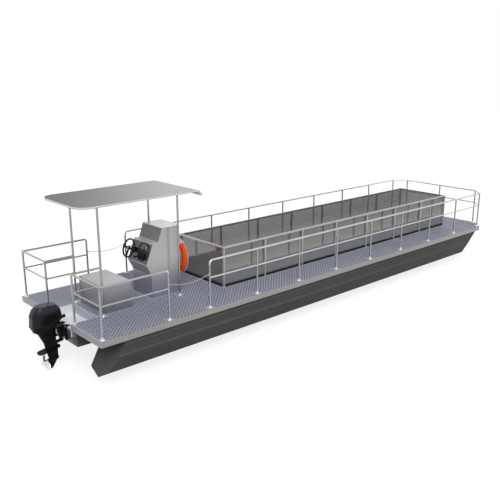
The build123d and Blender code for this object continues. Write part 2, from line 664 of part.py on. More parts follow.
def build_helm():
    """Helm boss, wheel on its shaft, and the throttle box with its lever."""
    dash, _ = dash_frame()
    axle = dash * Pos(-HELM_TO_PORT, HELM_UP_DASH, 0)
    boss_foot = PANEL_SHEET
    boss = Pos(0, 0, boss_foot) * Cylinder(
        HELM_BOSS, HELM_BOSS_LENGTH, align=(Align.CENTER, Align.CENTER, Align.MIN)
    )
    boss = chamfer(boss.edges().group_by(Axis.Z)[-1], HELM_BOSS / 3)
    bore_depth = HELM_BOSS_LENGTH - PANEL_SHEET
    boss -= Pos(0, 0, boss_foot + HELM_BOSS_LENGTH - bore_depth) * Cylinder(
        HELM_SHAFT + RUN_FIT, bore_depth + PANEL_SHEET, align=(Align.CENTER, Align.CENTER, Align.MIN)
    )
    save("helm_boss", axle * boss)

    wheel = Torus(WHEEL_RADIUS, WHEEL_GRIP) + Cylinder(WHEEL_HUB, WHEEL_HUB_DEPTH)
    for angle in SPOKE_ANGLES:
        spoke = Pos(WHEEL_RADIUS / 2, 0, 0) * Box(WHEEL_RADIUS, SPOKE_WIDTH, SPOKE_THICKNESS)
        wheel += Rot(0, 0, angle) * spoke
    shaft_length = HELM_STANDOFF - boss_foot - 2 * PANEL_SHEET
    wheel += Pos(0, 0, -shaft_length / 2) * Cylinder(HELM_SHAFT, shaft_length)
    save("helm_wheel", axle * Pos(0, 0, HELM_STANDOFF) * wheel)

    width, length, height = THROTTLE_SIZE
    box = Pos(0, 0, PANEL_SHEET + height / 2) * Box(width, length, height)
    box = fillet(box.edges().filter_by(Axis.Z), length / 6)
    top = PANEL_SHEET + height
    lever = bar((0, 0, top - LEVER_RADIUS), (0, -LEVER_LENGTH / 3, top + LEVER_LENGTH), LEVER_RADIUS)
    lever += Pos(0, -LEVER_LENGTH / 3, top + LEVER_LENGTH) * Sphere(LEVER_KNOB)
    save("throttle_box", dash * Pos(THROTTLE_TO_STARBOARD, THROTTLE_UP_DASH, 0) * (box + lever))


def build_life_ring():
    """Life ring and the bracket that holds it on the console's front."""
    front = STERN + CONSOLE_AFT + CONSOLE_LENGTH
    centre_x = front + RING_GAP + RING_THICKNESS / 2
    centre_z = DECK_TOP + RING_HEIGHT
    middle = RING_OUTER - RING_WIDTH / 2
    section = Pos(centre_x, 0, centre_z + middle) * (Plane.XZ * Ellipse(RING_THICKNESS / 2, RING_WIDTH / 2))
    save("life_ring", revolve(section, Axis((centre_x, 0, centre_z), (1, 0, 0)), 360))

    half = BRACKET_WIDTH / 2
    shelf_top = centre_z - RING_OUTER - SEAM
    far = centre_x + RING_THICKNESS / 2 + SEAM
    peg_z = centre_z + RING_OUTER - RING_WIDTH - PEG_RADIUS - SEAM
    shelf_foot = shelf_top - BRACKET_SHEET
    across = (-half, half)
    bracket = block((front, front + BRACKET_SHEET), across, (shelf_foot, peg_z + 3 * PEG_RADIUS))
    bracket += block((front, far + BRACKET_SHEET), across, (shelf_foot, shelf_top))
    bracket += block((far, far + BRACKET_SHEET), across, (shelf_foot, shelf_top + BRACKET_LIP))
    bracket += bar((front, 0, peg_z), (far, 0, peg_z), PEG_RADIUS)
    save("life_ring_bracket", bracket)


def build_canopy():
    """Flat roof with a turned-down visor on four posts."""
    aft, forward = STERN + CANOPY_AFT, STERN + CANOPY_AFT + CANOPY_LENGTH
    top = DECK_TOP + CANOPY_TOP
    half = CANOPY_WIDTH / 2
    slope = atan2(VISOR_DROP, VISOR_REACH)
    inner_bend = CANOPY_THICKNESS * tan(slope / 2)
    lean_x, lean_z = CANOPY_THICKNESS * sin(slope), CANOPY_THICKNESS * cos(slope)
    outline = [
        (aft, top),
        (forward, top),
        (forward + VISOR_REACH, top - VISOR_DROP),
        (forward + VISOR_REACH - lean_x, top - VISOR_DROP - lean_z),
        (forward - inner_bend, top - CANOPY_THICKNESS),
        (aft, top - CANOPY_THICKNESS),
    ]
    roof = side_plate(outline, (-half, half))
    across = roof.edges().filter_by(Axis.Y).sort_by(Axis.Z)
    outer_bend = [edge for edge in across if abs(edge.center().X - forward) < 1]
    roof = fillet(outer_bend, VISOR_BEND + CANOPY_THICKNESS)
    roof = fillet(roof.edges().filter_by(Axis.Z).group_by(Axis.X)[0], CANOPY_CORNER)
    save("canopy_roof", roof)

    post_y = WELL_WIDTH / 2 + WELL_RAIL_INSET
    height = CANOPY_TOP - CANOPY_THICKNESS
    posts = []
    for x in (STERN + CANOPY_POST_AFT, STERN + CANOPY_POST_FORWARD):
        for y in (post_y, -post_y):
            post = Cylinder(CANOPY_POST_RADIUS, height, align=(Align.CENTER, Align.CENTER, Align.MIN))
            post += Cylinder(FOOT_RADIUS, FOOT_HEIGHT, align=(Align.CENTER, Align.CENTER, Align.MIN))
            posts.append(Pos(x, y, DECK_TOP) * post)
    save("canopy_posts", *posts)


TILT_X = TRANSOM - TILT_SETBACK
TILT_Z = TRAY_FLOOR + TILT_RISE
STEER_X = TILT_X - STEER_SETBACK
YOKE_FOOT = TRAY_FLOOR + SLEEVE_TOP + MOVE_GAP
SLEEVE_FOOT = TRAY_FLOOR + SLEEVE_TOP - SLEEVE_LENGTH


def raked(shape):
    """Lean a piece of the engine, drawn upright, about the tilt axis."""
    return Pos(TILT_X, 0, TILT_Z) * Rot(0, -MOTOR_RAKE, 0) * Pos(-TILT_X, 0, -TILT_Z) * shape


def cowl_loft(inset):
    """Cowl from its foot to its crown, about the middle of its foot and drawn in by a wall."""
    sections = ((*COWL_FOOT, 0, 0, 0), COWL_WAIST, COWL_SHOULDER, COWL_CROWN)
    faces = []
    for length, width, corner, rise, shift, nose_down in sections:
        lowered = inset if rise == COWL_CROWN[3] else 0
        face = RectangleRounded(length - 2 * inset, width - 2 * inset, corner - inset)
        faces.append(Pos(shift, 0, rise - lowered) * Rot(0, nose_down, 0) * face)
    return loft(faces, ruled=True)


def build_outboard_bracket():
    """Clamp cheeks and tilt tube on the transom, and the swivel bracket that hangs from them."""
    inner, outer = CHEEK_GAP / 2, CHEEK_GAP / 2 + CHEEK_THICKNESS
    outline = [
        (TRANSOM + CHEEK_HOOK, TRAY_FLOOR),
        (TRANSOM + CHEEK_HOOK, TRAY_FLOOR + CHEEK_RISE / 2),
        (TRANSOM, TRAY_FLOOR + CHEEK_RISE),
        (TRANSOM - CHEEK_WIDTH, TRAY_FLOOR + CHEEK_RISE),
        (TRANSOM - CHEEK_WIDTH, TRAY_FLOOR - CHEEK_DEPTH / 2),
        (TRANSOM - CHEEK_WIDTH / 2, TRAY_FLOOR - CHEEK_DEPTH),
        (TRANSOM, TRAY_FLOOR - CHEEK_DEPTH),
        (TRANSOM, TRAY_FLOOR),
    ]
    hole = bar((TILT_X, -outer, TILT_Z), (TILT_X, outer, TILT_Z), TILT_TUBE)
    cheeks = [side_plate(outline, (inner, outer)) - hole, side_plate(outline, (-outer, -inner)) - hole]
    save("clamp_cheeks", *cheeks)
    save("tilt_tube", hole)

    half_sleeve = inner - MOVE_GAP
    sleeve_foot, sleeve_top = SLEEVE_FOOT, TRAY_FLOOR + SLEEVE_TOP
    swivel = bar((TILT_X, -half_sleeve, TILT_Z), (TILT_X, half_sleeve, TILT_Z), TILT_SLEEVE)
    swivel += bar((STEER_X, 0, sleeve_foot), (STEER_X, 0, sleeve_top), STEER_SLEEVE)
    web = [
        (STEER_X, sleeve_foot + SWIVEL_WEB / 2),
        (TILT_X, TILT_Z - 2 * TILT_SLEEVE),
        (TILT_X, TILT_Z),
        (STEER_X, sleeve_top - SWIVEL_WEB / 3),
    ]
    swivel += side_plate(web, (-SWIVEL_WEB / 2, SWIVEL_WEB / 2))
    swivel -= bar((TILT_X, -inner, TILT_Z), (TILT_X, inner, TILT_Z), TILT_TUBE + RUN_FIT)
    swivel -= bar((STEER_X, 0, sleeve_foot), (STEER_X, 0, sleeve_top), STEER_SHAFT + RUN_FIT)
    save("swivel_bracket", raked(swivel))


def build_outboard():
    """Cowl, powerhead, leg and steering arm."""
    foot = Pos(STEER_X - COWL_SETBACK, 0, TILT_Z + COWL_RISE)
    save("engine_cowl", raked(foot * (cowl_loft(0) - cowl_loft(COWL_WALL))))
    length, width, height = POWERHEAD_SIZE
    save("powerhead", raked(foot * Pos(0, 0, height / 2) * Box(length, width, height)))

    sections = (LEG_TOP, LEG_SHOULDER, LEG_WAIST, (*LEG_FOOT_SIZE, LEG_SETBACK, PLATE_DROP))
    faces = []
    for length, width, setback, drop in sections:
        faces.append(Pos(STEER_X - setback - length / 2, 0, TILT_Z - drop) * SlotOverall(length, width))
    leg = loft(faces, ruled=True)
    pan_foot = Pos(-PAN_SHIFT, 0, -PAN_DEPTH) * RectangleRounded(*PAN_FOOT)
    leg += foot * loft([pan_foot, RectangleRounded(*COWL_FOOT)], ruled=True)
    yoke_x = (STEER_X - LEG_SETBACK - YOKE_WIDTH, STEER_X)
    yoke_half = YOKE_WIDTH / 2
    for yoke_foot in (YOKE_FOOT, SLEEVE_FOOT - MOVE_GAP - YOKE_HEIGHT):
        yoke = block(yoke_x, (-yoke_half, yoke_half), (yoke_foot, yoke_foot + YOKE_HEIGHT))
        yoke += bar((STEER_X, 0, yoke_foot), (STEER_X, 0, yoke_foot + YOKE_HEIGHT), yoke_half)
        leg += yoke
    leg += bar((STEER_X, 0, SLEEVE_FOOT - MOVE_GAP), (STEER_X, 0, YOKE_FOOT), STEER_SHAFT)
    save("drive_leg", raked(leg))

    arm_z = TILT_Z + ARM_RISE
    arm = bar((STEER_X, 0, arm_z), (STEER_X + ARM_REACH, 0, arm_z), ARM_GRIP)
    arm = fillet(arm.edges().group_by(Axis.X)[-1], ARM_GRIP / 2)
    save("steering_arm", raked(arm - leg))


def build_lower_unit():
    """Anti-ventilation plate, strut, torpedo and skeg as one casting, and the propeller.

    Both are drawn about the propeller's axis, with x forward of the steering axis.
    """
    place = Pos(STEER_X, 0, TILT_Z - TORPEDO_DROP)
    plate_top = TORPEDO_DROP - PLATE_DROP
    nose, tail = -TORPEDO_SETBACK, -TORPEDO_SETBACK - TORPEDO_LENGTH
    plate = extrude(RectangleRounded(PLATE_LENGTH, PLATE_WIDTH, PLATE_CORNER), -PLATE_THICKNESS)
    plate = Pos(-PLATE_SETBACK - PLATE_LENGTH / 2, 0, plate_top) * plate
    strut_faces = []
    for z, (length, width), sweep in ((plate_top, STRUT_TOP_SIZE, 0), (0, STRUT_FOOT_SIZE, STRUT_SWEEP)):
        strut_faces.append(Pos(-LEG_SETBACK - sweep - length / 2, 0, z) * SlotOverall(length, width))
    shoulder = nose - TORPEDO_NOSE
    tail_radius = TORPEDO_RADIUS - TAIL_TAPER
    side_line = Polyline((nose, 0), (tail, 0), (tail, tail_radius), (shoulder, TORPEDO_RADIUS))
    nose_curve = EllipticalCenterArc((shoulder, 0), TORPEDO_NOSE, TORPEDO_RADIUS, arc_size=90)
    torpedo = revolve(make_face(side_line + nose_curve), Axis.X, 360)
    skeg_foot = TORPEDO_DROP - SKEG_DROP
    skeg_view = [
        (-LEG_SETBACK - STRUT_SWEEP, 0),
        (tail + SKEG_TIP_AFT + SKEG_TIP_LENGTH, skeg_foot),
        (tail + SKEG_TIP_AFT, skeg_foot),
        (tail + 2 * SKEG_TIP_AFT, 0),
    ]
    skeg = side_plate(skeg_view, (-SKEG_THICKNESS / 2, SKEG_THICKNESS / 2))
    bore_end = tail + PROP_SHAFT_LENGTH
    case = plate + loft(strut_faces, ruled=True) + torpedo + skeg
    case -= bar((tail, 0, 0), (bore_end, 0, 0), PROP_SHAFT + RUN_FIT)
    save("gearcase", raked(place * case))

    hub_front = tail - PROP_GAP
    hub = bar((hub_front - PROP_HUB_LENGTH, 0, 0), (hub_front, 0, 0), PROP_HUB)
    hub = chamfer(hub.edges().group_by(Axis.X)[0], PROP_HUB / 3)
    propeller = hub + bar((hub_front, 0, 0), (bore_end - PROP_GAP, 0, 0), PROP_SHAFT)
    # Share of the blade's reach, chord, thickness, pitch angle in degrees
    stations = [(0.2, 70.0, 9.0, 60.0), (0.62, 105.0, 6.0, 38.0), (1.0, 50.0, 3.0, 26.0)]
    blade_faces = []
    for share, chord, thickness, pitch in stations:
        front = ThreePointArc((-chord / 2, 0), (0, thickness), (chord / 2, 0))
        back = ThreePointArc((chord / 2, 0), (0, -thickness / 4), (-chord / 2, 0))
        blade_faces.append(Pos(0, 0, share * PROP_RADIUS) * Rot(0, 0, pitch) * make_face(front + back))
    blade = Pos(hub_front - PROP_HUB_LENGTH / 2, 0, 0) * loft(blade_faces)
    for index in range(PROP_BLADES):
        propeller += Rot(index * 360 / PROP_BLADES, 0, 0) * blade
    save("propeller", raked(place * propeller))


build_deck()
build_pontoons()
build_rails()
build_gate_ropes()
build_hold()
build_seat()
build_console()
build_helm()
build_life_ring()
build_canopy()
build_outboard_bracket()
build_outboard()
build_lower_unit()
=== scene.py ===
"""Looks of a pontoon work boat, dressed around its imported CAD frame.

Metres, in the frame of the CAD: the origin is amidships at the waterline, +X runs to the bow,
+Y to port and +Z up. Each sub-assembly is a class that builds its meshes and dresses them.
"""

from __future__ import annotations

import json
import logging
import math
from collections.abc import Callable, Iterable, Sequence
from dataclasses import dataclass, field, replace
from enum import Enum

import bpy
import numpy as np
from mathutils import Matrix, Vector


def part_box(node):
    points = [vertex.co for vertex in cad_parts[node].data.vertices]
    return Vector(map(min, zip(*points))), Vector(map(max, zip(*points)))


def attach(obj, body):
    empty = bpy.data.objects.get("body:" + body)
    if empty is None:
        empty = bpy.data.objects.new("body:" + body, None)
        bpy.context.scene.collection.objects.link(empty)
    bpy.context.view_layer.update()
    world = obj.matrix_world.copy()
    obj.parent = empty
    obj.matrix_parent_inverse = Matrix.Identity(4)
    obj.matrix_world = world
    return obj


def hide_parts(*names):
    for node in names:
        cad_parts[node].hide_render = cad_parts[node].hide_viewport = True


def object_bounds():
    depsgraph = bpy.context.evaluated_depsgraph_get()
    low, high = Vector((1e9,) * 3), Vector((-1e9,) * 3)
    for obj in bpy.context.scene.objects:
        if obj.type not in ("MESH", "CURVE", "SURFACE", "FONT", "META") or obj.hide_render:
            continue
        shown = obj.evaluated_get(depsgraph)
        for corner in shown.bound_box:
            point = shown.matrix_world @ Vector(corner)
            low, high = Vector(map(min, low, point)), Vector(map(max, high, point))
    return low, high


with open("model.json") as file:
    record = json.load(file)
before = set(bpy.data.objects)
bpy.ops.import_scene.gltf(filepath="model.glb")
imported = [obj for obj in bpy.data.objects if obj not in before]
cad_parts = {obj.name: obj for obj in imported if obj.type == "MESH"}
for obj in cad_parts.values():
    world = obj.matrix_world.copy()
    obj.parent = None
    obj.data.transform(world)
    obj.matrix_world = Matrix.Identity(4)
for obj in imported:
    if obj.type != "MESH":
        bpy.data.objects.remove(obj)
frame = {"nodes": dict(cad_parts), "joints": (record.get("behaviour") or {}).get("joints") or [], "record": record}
CAD_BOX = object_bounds()
LOG = logging.getLogger("pontoon_boat")

Colour = tuple[float, float, float]
Point = tuple[float, float, float]
Profile = tuple[tuple[float, float], ...]  # radius and height of each step of a turned shape
Outline = tuple[tuple[float, float], ...]  # corners of a flat shape
HEXAGON = 6
WELD_DECIMALS = 4  # points of a CAD mesh that agree to these are one
MIX_COLOURS = (6, 7)  # a Mix node's sockets for colours, which share their names with others
MIX_RESULT = 2
SMOOTH_ANGLE = math.radians(35)
SIDES = (1, -1)  # port, starboard
UP: Point = (0.0, 0.0, 1.0)
DOWN: Point = (0.0, 0.0, -1.0)
STEEP = 0.9  # a direction this near an axis takes another one to lean on
POST_NODES = ("forward_rail_posts", "stern_rail_posts", "canopy_posts")
COAT_ROUGHNESS = 0.06
WEAR_WIDTH = 0.006
DUST_COLOUR = (0.42, 0.41, 0.39, 1.0)
DUST_ROUGHNESS = 0.5
SLANT_BLEND = 0.25
RELIEF_STEP = 0.002


class Effect(Enum):
    """Surface effects that several finishes share, each a shader node group."""

    MOTTLE = "Mottle"
    EDGE_WEAR = "Edge wear"
    SETTLED_DUST = "Settled dust"
    ORANGE_PEEL = "Orange peel"
    BRUSHED_LINES = "Brushed lines"
    MOULDED_PEBBLE = "Moulded pebble"
    ROPE_FIBRE = "Rope fibre"
    FADE = "Fade"


class Relief(Enum):
    """Fine relief of a finish, named by the effect that gives its height."""

    PAINT = Effect.ORANGE_PEEL
    BRUSHED = Effect.BRUSHED_LINES
    MOULDED = Effect.MOULDED_PEBBLE
    FIBRE = Effect.ROPE_FIBRE


class Socket(Enum):
    """Kinds of sockets on a node group."""

    VALUE = "NodeSocketFloat"
    COLOUR = "NodeSocketColor"
    VECTOR = "NodeSocketVector"


@dataclass
class Wiring:
    """Short calls that add nodes to one tree and link them."""

    tree: bpy.types.NodeTree

    def add(self, kind: str, **values: object) -> bpy.types.Node:
        """Add a node and set its plain properties.

        Args:
            kind: Blender's name of the node's type.
            values: Properties of the node, by name.

        Returns:
            The new node.
        """
        node = self.tree.nodes.new(kind)
        for name, value in values.items():
            setattr(node, name, value)
        return node

    def join(self, source: bpy.types.NodeSocket, target: bpy.types.NodeSocket) -> None:
        """Link one socket to another."""
        self.tree.links.new(source, target)

    def feed(self, target: bpy.types.NodeSocket, value: object) -> None:
        """Link a socket to a target, or set the target to a plain value."""
        if isinstance(value, bpy.types.NodeSocket):
            self.join(value, target)
        else:
            target.default_value = value

    def sum(self, operation: str, first: object, second: object) -> bpy.types.NodeSocket:
        """Combine two values.

        Args:
            operation: Name of a Math operation.
            first: Socket or number.
            second: Socket or number.

        Returns:
            The result's socket.
        """
        node = self.add("ShaderNodeMath", operation=operation)
        self.feed(node.inputs[0], first)
        self.feed(node.inputs[1], second)
        return node.outputs[0]

    def ramp(self, value: object, low: float, high: float) -> bpy.types.NodeSocket:
        """Stretch a value's range from low to high over 0 to 1, held at both ends."""
        node = self.add("ShaderNodeMapRange", clamp=True)
        self.feed(node.inputs["Value"], value)
        node.inputs["From Min"].default_value = low
        node.inputs["From Max"].default_value = high
        return node.outputs["Result"]

    def blend(self, share: object, first: object, second: object) -> bpy.types.NodeSocket:
        """Mix two colours.

        Args:
            share: Socket or number, the second colour's share.
            first: Socket or colour.
            second: Socket or colour.

        Returns:
            The mixed colour's socket.
        """
        node = self.add("ShaderNodeMix", data_type="RGBA", clamp_factor=True)
        self.feed(node.inputs["Factor"], share)
        for place, colour in zip(MIX_COLOURS, (first, second)):
            self.feed(node.inputs[place], colour)
        return node.outputs[MIX_RESULT]

    def noise(self, scale: object, detail: float, vector: object = None) -> bpy.types.NodeSocket:
        """Noise over the object's own coordinates, or over a given vector.

        Args:
            scale: Socket or number, features to the metre.
            detail: Octaves.
            vector: Socket with other coordinates.

        Returns:
            The noise's value.
        """
        node = self.add("ShaderNodeTexNoise")
        self.feed(node.inputs["Scale"], scale)
        node.inputs["Detail"].default_value = detail
        place = vector or self.add("ShaderNodeTexCoord").outputs["Object"]
        self.join(place, node.inputs["Vector"])
        return node.outputs["Fac"]


@dataclass
class EffectLibrary:
    """The shared effects, each built as a node group when it is first asked for."""

    groups: dict[Effect, bpy.types.NodeTree] = field(default_factory=dict)

    def get(self, effect: Effect) -> bpy.types.NodeTree:
        """Return an effect's node group, built once."""
        if effect not in self.groups:
            makers: dict[Effect, Callable[[], bpy.types.NodeTree]] = {
                Effect.MOTTLE: self.mottle,
                Effect.EDGE_WEAR: self.edge_wear,
                Effect.SETTLED_DUST: self.settled_dust,
                Effect.ORANGE_PEEL: self.orange_peel,
                Effect.BRUSHED_LINES: self.brushed_lines,
                Effect.MOULDED_PEBBLE: self.moulded_pebble,
                Effect.ROPE_FIBRE: self.rope_fibre,
                Effect.FADE: self.fade,
            }
            self.groups[effect] = makers[effect]()
        return self.groups[effect]

    @staticmethod
    def start(
        effect: Effect, inputs: dict[str, Socket], outputs: dict[str, Socket]
    ) -> tuple[Wiring, bpy.types.Node, bpy.types.Node]:
        """Start a node group with its sockets.

        Args:
            effect: The effect that names the group.
            inputs: Kind of each input socket, by name.
            outputs: Kind of each output socket, by name.

        Returns:
            The group's wiring, its input node and its output node.
        """
        tree = bpy.data.node_groups.new(effect.value, "ShaderNodeTree")
        for sockets, direction in ((inputs, "INPUT"), (outputs, "OUTPUT")):
            for name, kind in sockets.items():
                tree.interface.new_socket(name, in_out=direction, socket_type=kind.value)
        wiring = Wiring(tree)
        return wiring, wiring.add("NodeGroupInput"), wiring.add("NodeGroupOutput")

    def mottle(self) -> bpy.types.NodeTree:
        """Soft patches of a second shade, with the gloss changing along with them."""
        wiring, given, result = self.start(
            Effect.MOTTLE,
            {
                "Base": Socket.COLOUR,
                "Shade": Socket.COLOUR,
                "Amount": Socket.VALUE,
                "Scale": Socket.VALUE,
                "Roughness": Socket.VALUE,
                "Spread": Socket.VALUE,
            },
            {"Color": Socket.COLOUR, "Roughness": Socket.VALUE},
        )
        broad = wiring.noise(given.outputs["Scale"], detail=4.0)
        fine = wiring.noise(wiring.sum("MULTIPLY", given.outputs["Scale"], 9.0), detail=3.0)
        both = wiring.sum("ADD", wiring.sum("MULTIPLY", fine, 0.35), broad)
        patches = wiring.ramp(both, low=0.45, high=0.95)
        share = wiring.sum("MULTIPLY", patches, given.outputs["Amount"])
        colour = wiring.blend(share, given.outputs["Base"], given.outputs["Shade"])
        wiring.join(colour, result.inputs["Color"])
        swing = wiring.sum("MULTIPLY", wiring.sum("SUBTRACT", patches, 0.5), given.outputs["Spread"])
        wiring.join(wiring.sum("ADD", given.outputs["Roughness"], swing), result.inputs["Roughness"])
        return wiring.tree

    def edge_wear(self) -> bpy.types.NodeTree:
        """Mask along outer edges, broken up as rubbed paint is."""
        wiring, given, result = self.start(
            Effect.EDGE_WEAR,
            {"Width": Socket.VALUE, "Strength": Socket.VALUE},
            {"Mask": Socket.VALUE},
        )
        bevel = wiring.add("ShaderNodeBevel", samples=4)
        wiring.join(given.outputs["Width"], bevel.inputs["Radius"])
        geometry = wiring.add("ShaderNodeNewGeometry")
        dot = wiring.add("ShaderNodeVectorMath", operation="DOT_PRODUCT")
        wiring.join(bevel.outputs["Normal"], dot.inputs[0])
        wiring.join(geometry.outputs["Normal"], dot.inputs[1])
        edge = wiring.ramp(wiring.sum("SUBTRACT", 1.0, dot.outputs["Value"]), low=0.02, high=0.18)
        broken = wiring.ramp(wiring.noise(scale=38.0, detail=4.0), low=0.35, high=0.65)
        mask = wiring.sum("MULTIPLY", wiring.sum("MULTIPLY", edge, broken), given.outputs["Strength"])
        wiring.join(mask, result.inputs["Mask"])
        return wiring.tree

    def settled_dust(self) -> bpy.types.NodeTree:
        """Mask of the fine dust that lies on faces that look up."""
        wiring, given, result = self.start(
            Effect.SETTLED_DUST, {"Amount": Socket.VALUE}, {"Mask": Socket.VALUE}
        )
        geometry = wiring.add("ShaderNodeNewGeometry")
        parts = wiring.add("ShaderNodeSeparateXYZ")
        wiring.join(geometry.outputs["Normal"], parts.inputs["Vector"])
        upward = wiring.ramp(parts.outputs["Z"], low=0.55, high=0.95)
        patches = wiring.ramp(wiring.noise(scale=3.2, detail=6.0), low=0.4, high=0.75)
        mask = wiring.sum("MULTIPLY", wiring.sum("MULTIPLY", upward, patches), given.outputs["Amount"])
        wiring.join(mask, result.inputs["Mask"])
        return wiring.tree

    def relief(self, effect: Effect) -> tuple[Wiring, bpy.types.NodeSocket, bpy.types.NodeSocket]:
        """Start a group that turns a scale into a height.

        Args:
            effect: The effect that names the group.

        Returns:
            The group's wiring, the scale's socket and the height's.
        """
        wiring, given, result = self.start(effect, {"Scale": Socket.VALUE}, {"Height": Socket.VALUE})
        return wiring, given.outputs["Scale"], result.inputs["Height"]

    def drawn_noise(self, effect: Effect, stretch: Point, detail: float) -> bpy.types.NodeTree:
        """Height of noise that is drawn out along an axis of the object.

        Args:
            effect: The effect that names the group.
            stretch: Factors on the coordinates, small along the axis.
            detail: Octaves.

        Returns:
            The node group.
        """
        wiring, scale, height = self.relief(effect)
        drawn = wiring.add("ShaderNodeVectorMath", operation="MULTIPLY")
        wiring.join(wiring.add("ShaderNodeTexCoord").outputs["Object"], drawn.inputs[0])
        drawn.inputs[1].default_value = stretch
        wiring.join(wiring.noise(scale, detail, drawn.outputs["Vector"]), height)
        return wiring.tree

    def orange_peel(self) -> bpy.types.NodeTree:
        """Height of sprayed paint: a fine ripple over a broad one."""
        wiring, scale, height = self.relief(Effect.ORANGE_PEEL)
        fine = wiring.noise(scale, detail=2.0)
        broad = wiring.noise(wiring.sum("MULTIPLY", scale, 0.06), detail=2.0)
        wiring.join(wiring.sum("ADD", wiring.sum("MULTIPLY", fine, 0.4), broad), height)
        return wiring.tree

    def brushed_lines(self) -> bpy.types.NodeTree:
        """Height of fine lines left by brushing, drawn out across the boat."""
        return self.drawn_noise(Effect.BRUSHED_LINES, stretch=(1.0, 0.05, 1.0), detail=3.0)

    def moulded_pebble(self) -> bpy.types.NodeTree:
        """Height of the pebbled grain on moulded plastic."""
        wiring, scale, height = self.relief(Effect.MOULDED_PEBBLE)
        cells = wiring.add("ShaderNodeTexVoronoi", feature="SMOOTH_F1")
        wiring.join(wiring.add("ShaderNodeTexCoord").outputs["Object"], cells.inputs["Vector"])
        wiring.join(scale, cells.inputs["Scale"])
        wiring.join(cells.outputs["Distance"], height)
        return wiring.tree

    def rope_fibre(self) -> bpy.types.NodeTree:
        """Height of loose yarn on a strand of rope, drawn out along the boat."""
        return self.drawn_noise(Effect.ROPE_FIBRE, stretch=(0.25, 1.0, 1.0), detail=4.0)

    def fade(self) -> bpy.types.NodeTree:
        """Mask that grows along a direction, between two distances from the origin."""
        wiring, given, result = self.start(
            Effect.FADE,
            {"Direction": Socket.VECTOR, "Start": Socket.VALUE, "End": Socket.VALUE},
            {"Mask": Socket.VALUE},
        )
        along = wiring.add("ShaderNodeVectorMath", operation="DOT_PRODUCT")
        wiring.join(wiring.add("ShaderNodeTexCoord").outputs["Object"], along.inputs[0])
        wiring.join(given.outputs["Direction"], along.inputs[1])
        spread = wiring.add("ShaderNodeMapRange", clamp=True, interpolation_type="SMOOTHSTEP")
        wiring.join(along.outputs["Value"], spread.inputs["Value"])
        wiring.join(given.outputs["Start"], spread.inputs["From Min"])
        wiring.join(given.outputs["End"], spread.inputs["From Max"])
        wiring.join(spread.outputs["Result"], result.inputs["Mask"])
        return wiring.tree


EFFECTS = EffectLibrary()


@dataclass(frozen=True)
class Fade:
    """A slow change to another colour along a direction, mostly used to paint light and shade.

    Attributes:
        colour: Colour at the far end.
        direction: Direction of the change.
        start: Where it starts, from the origin along the direction.
        end: Where it ends.
    """

    colour: Colour
    direction: Point
    start: float
    end: float


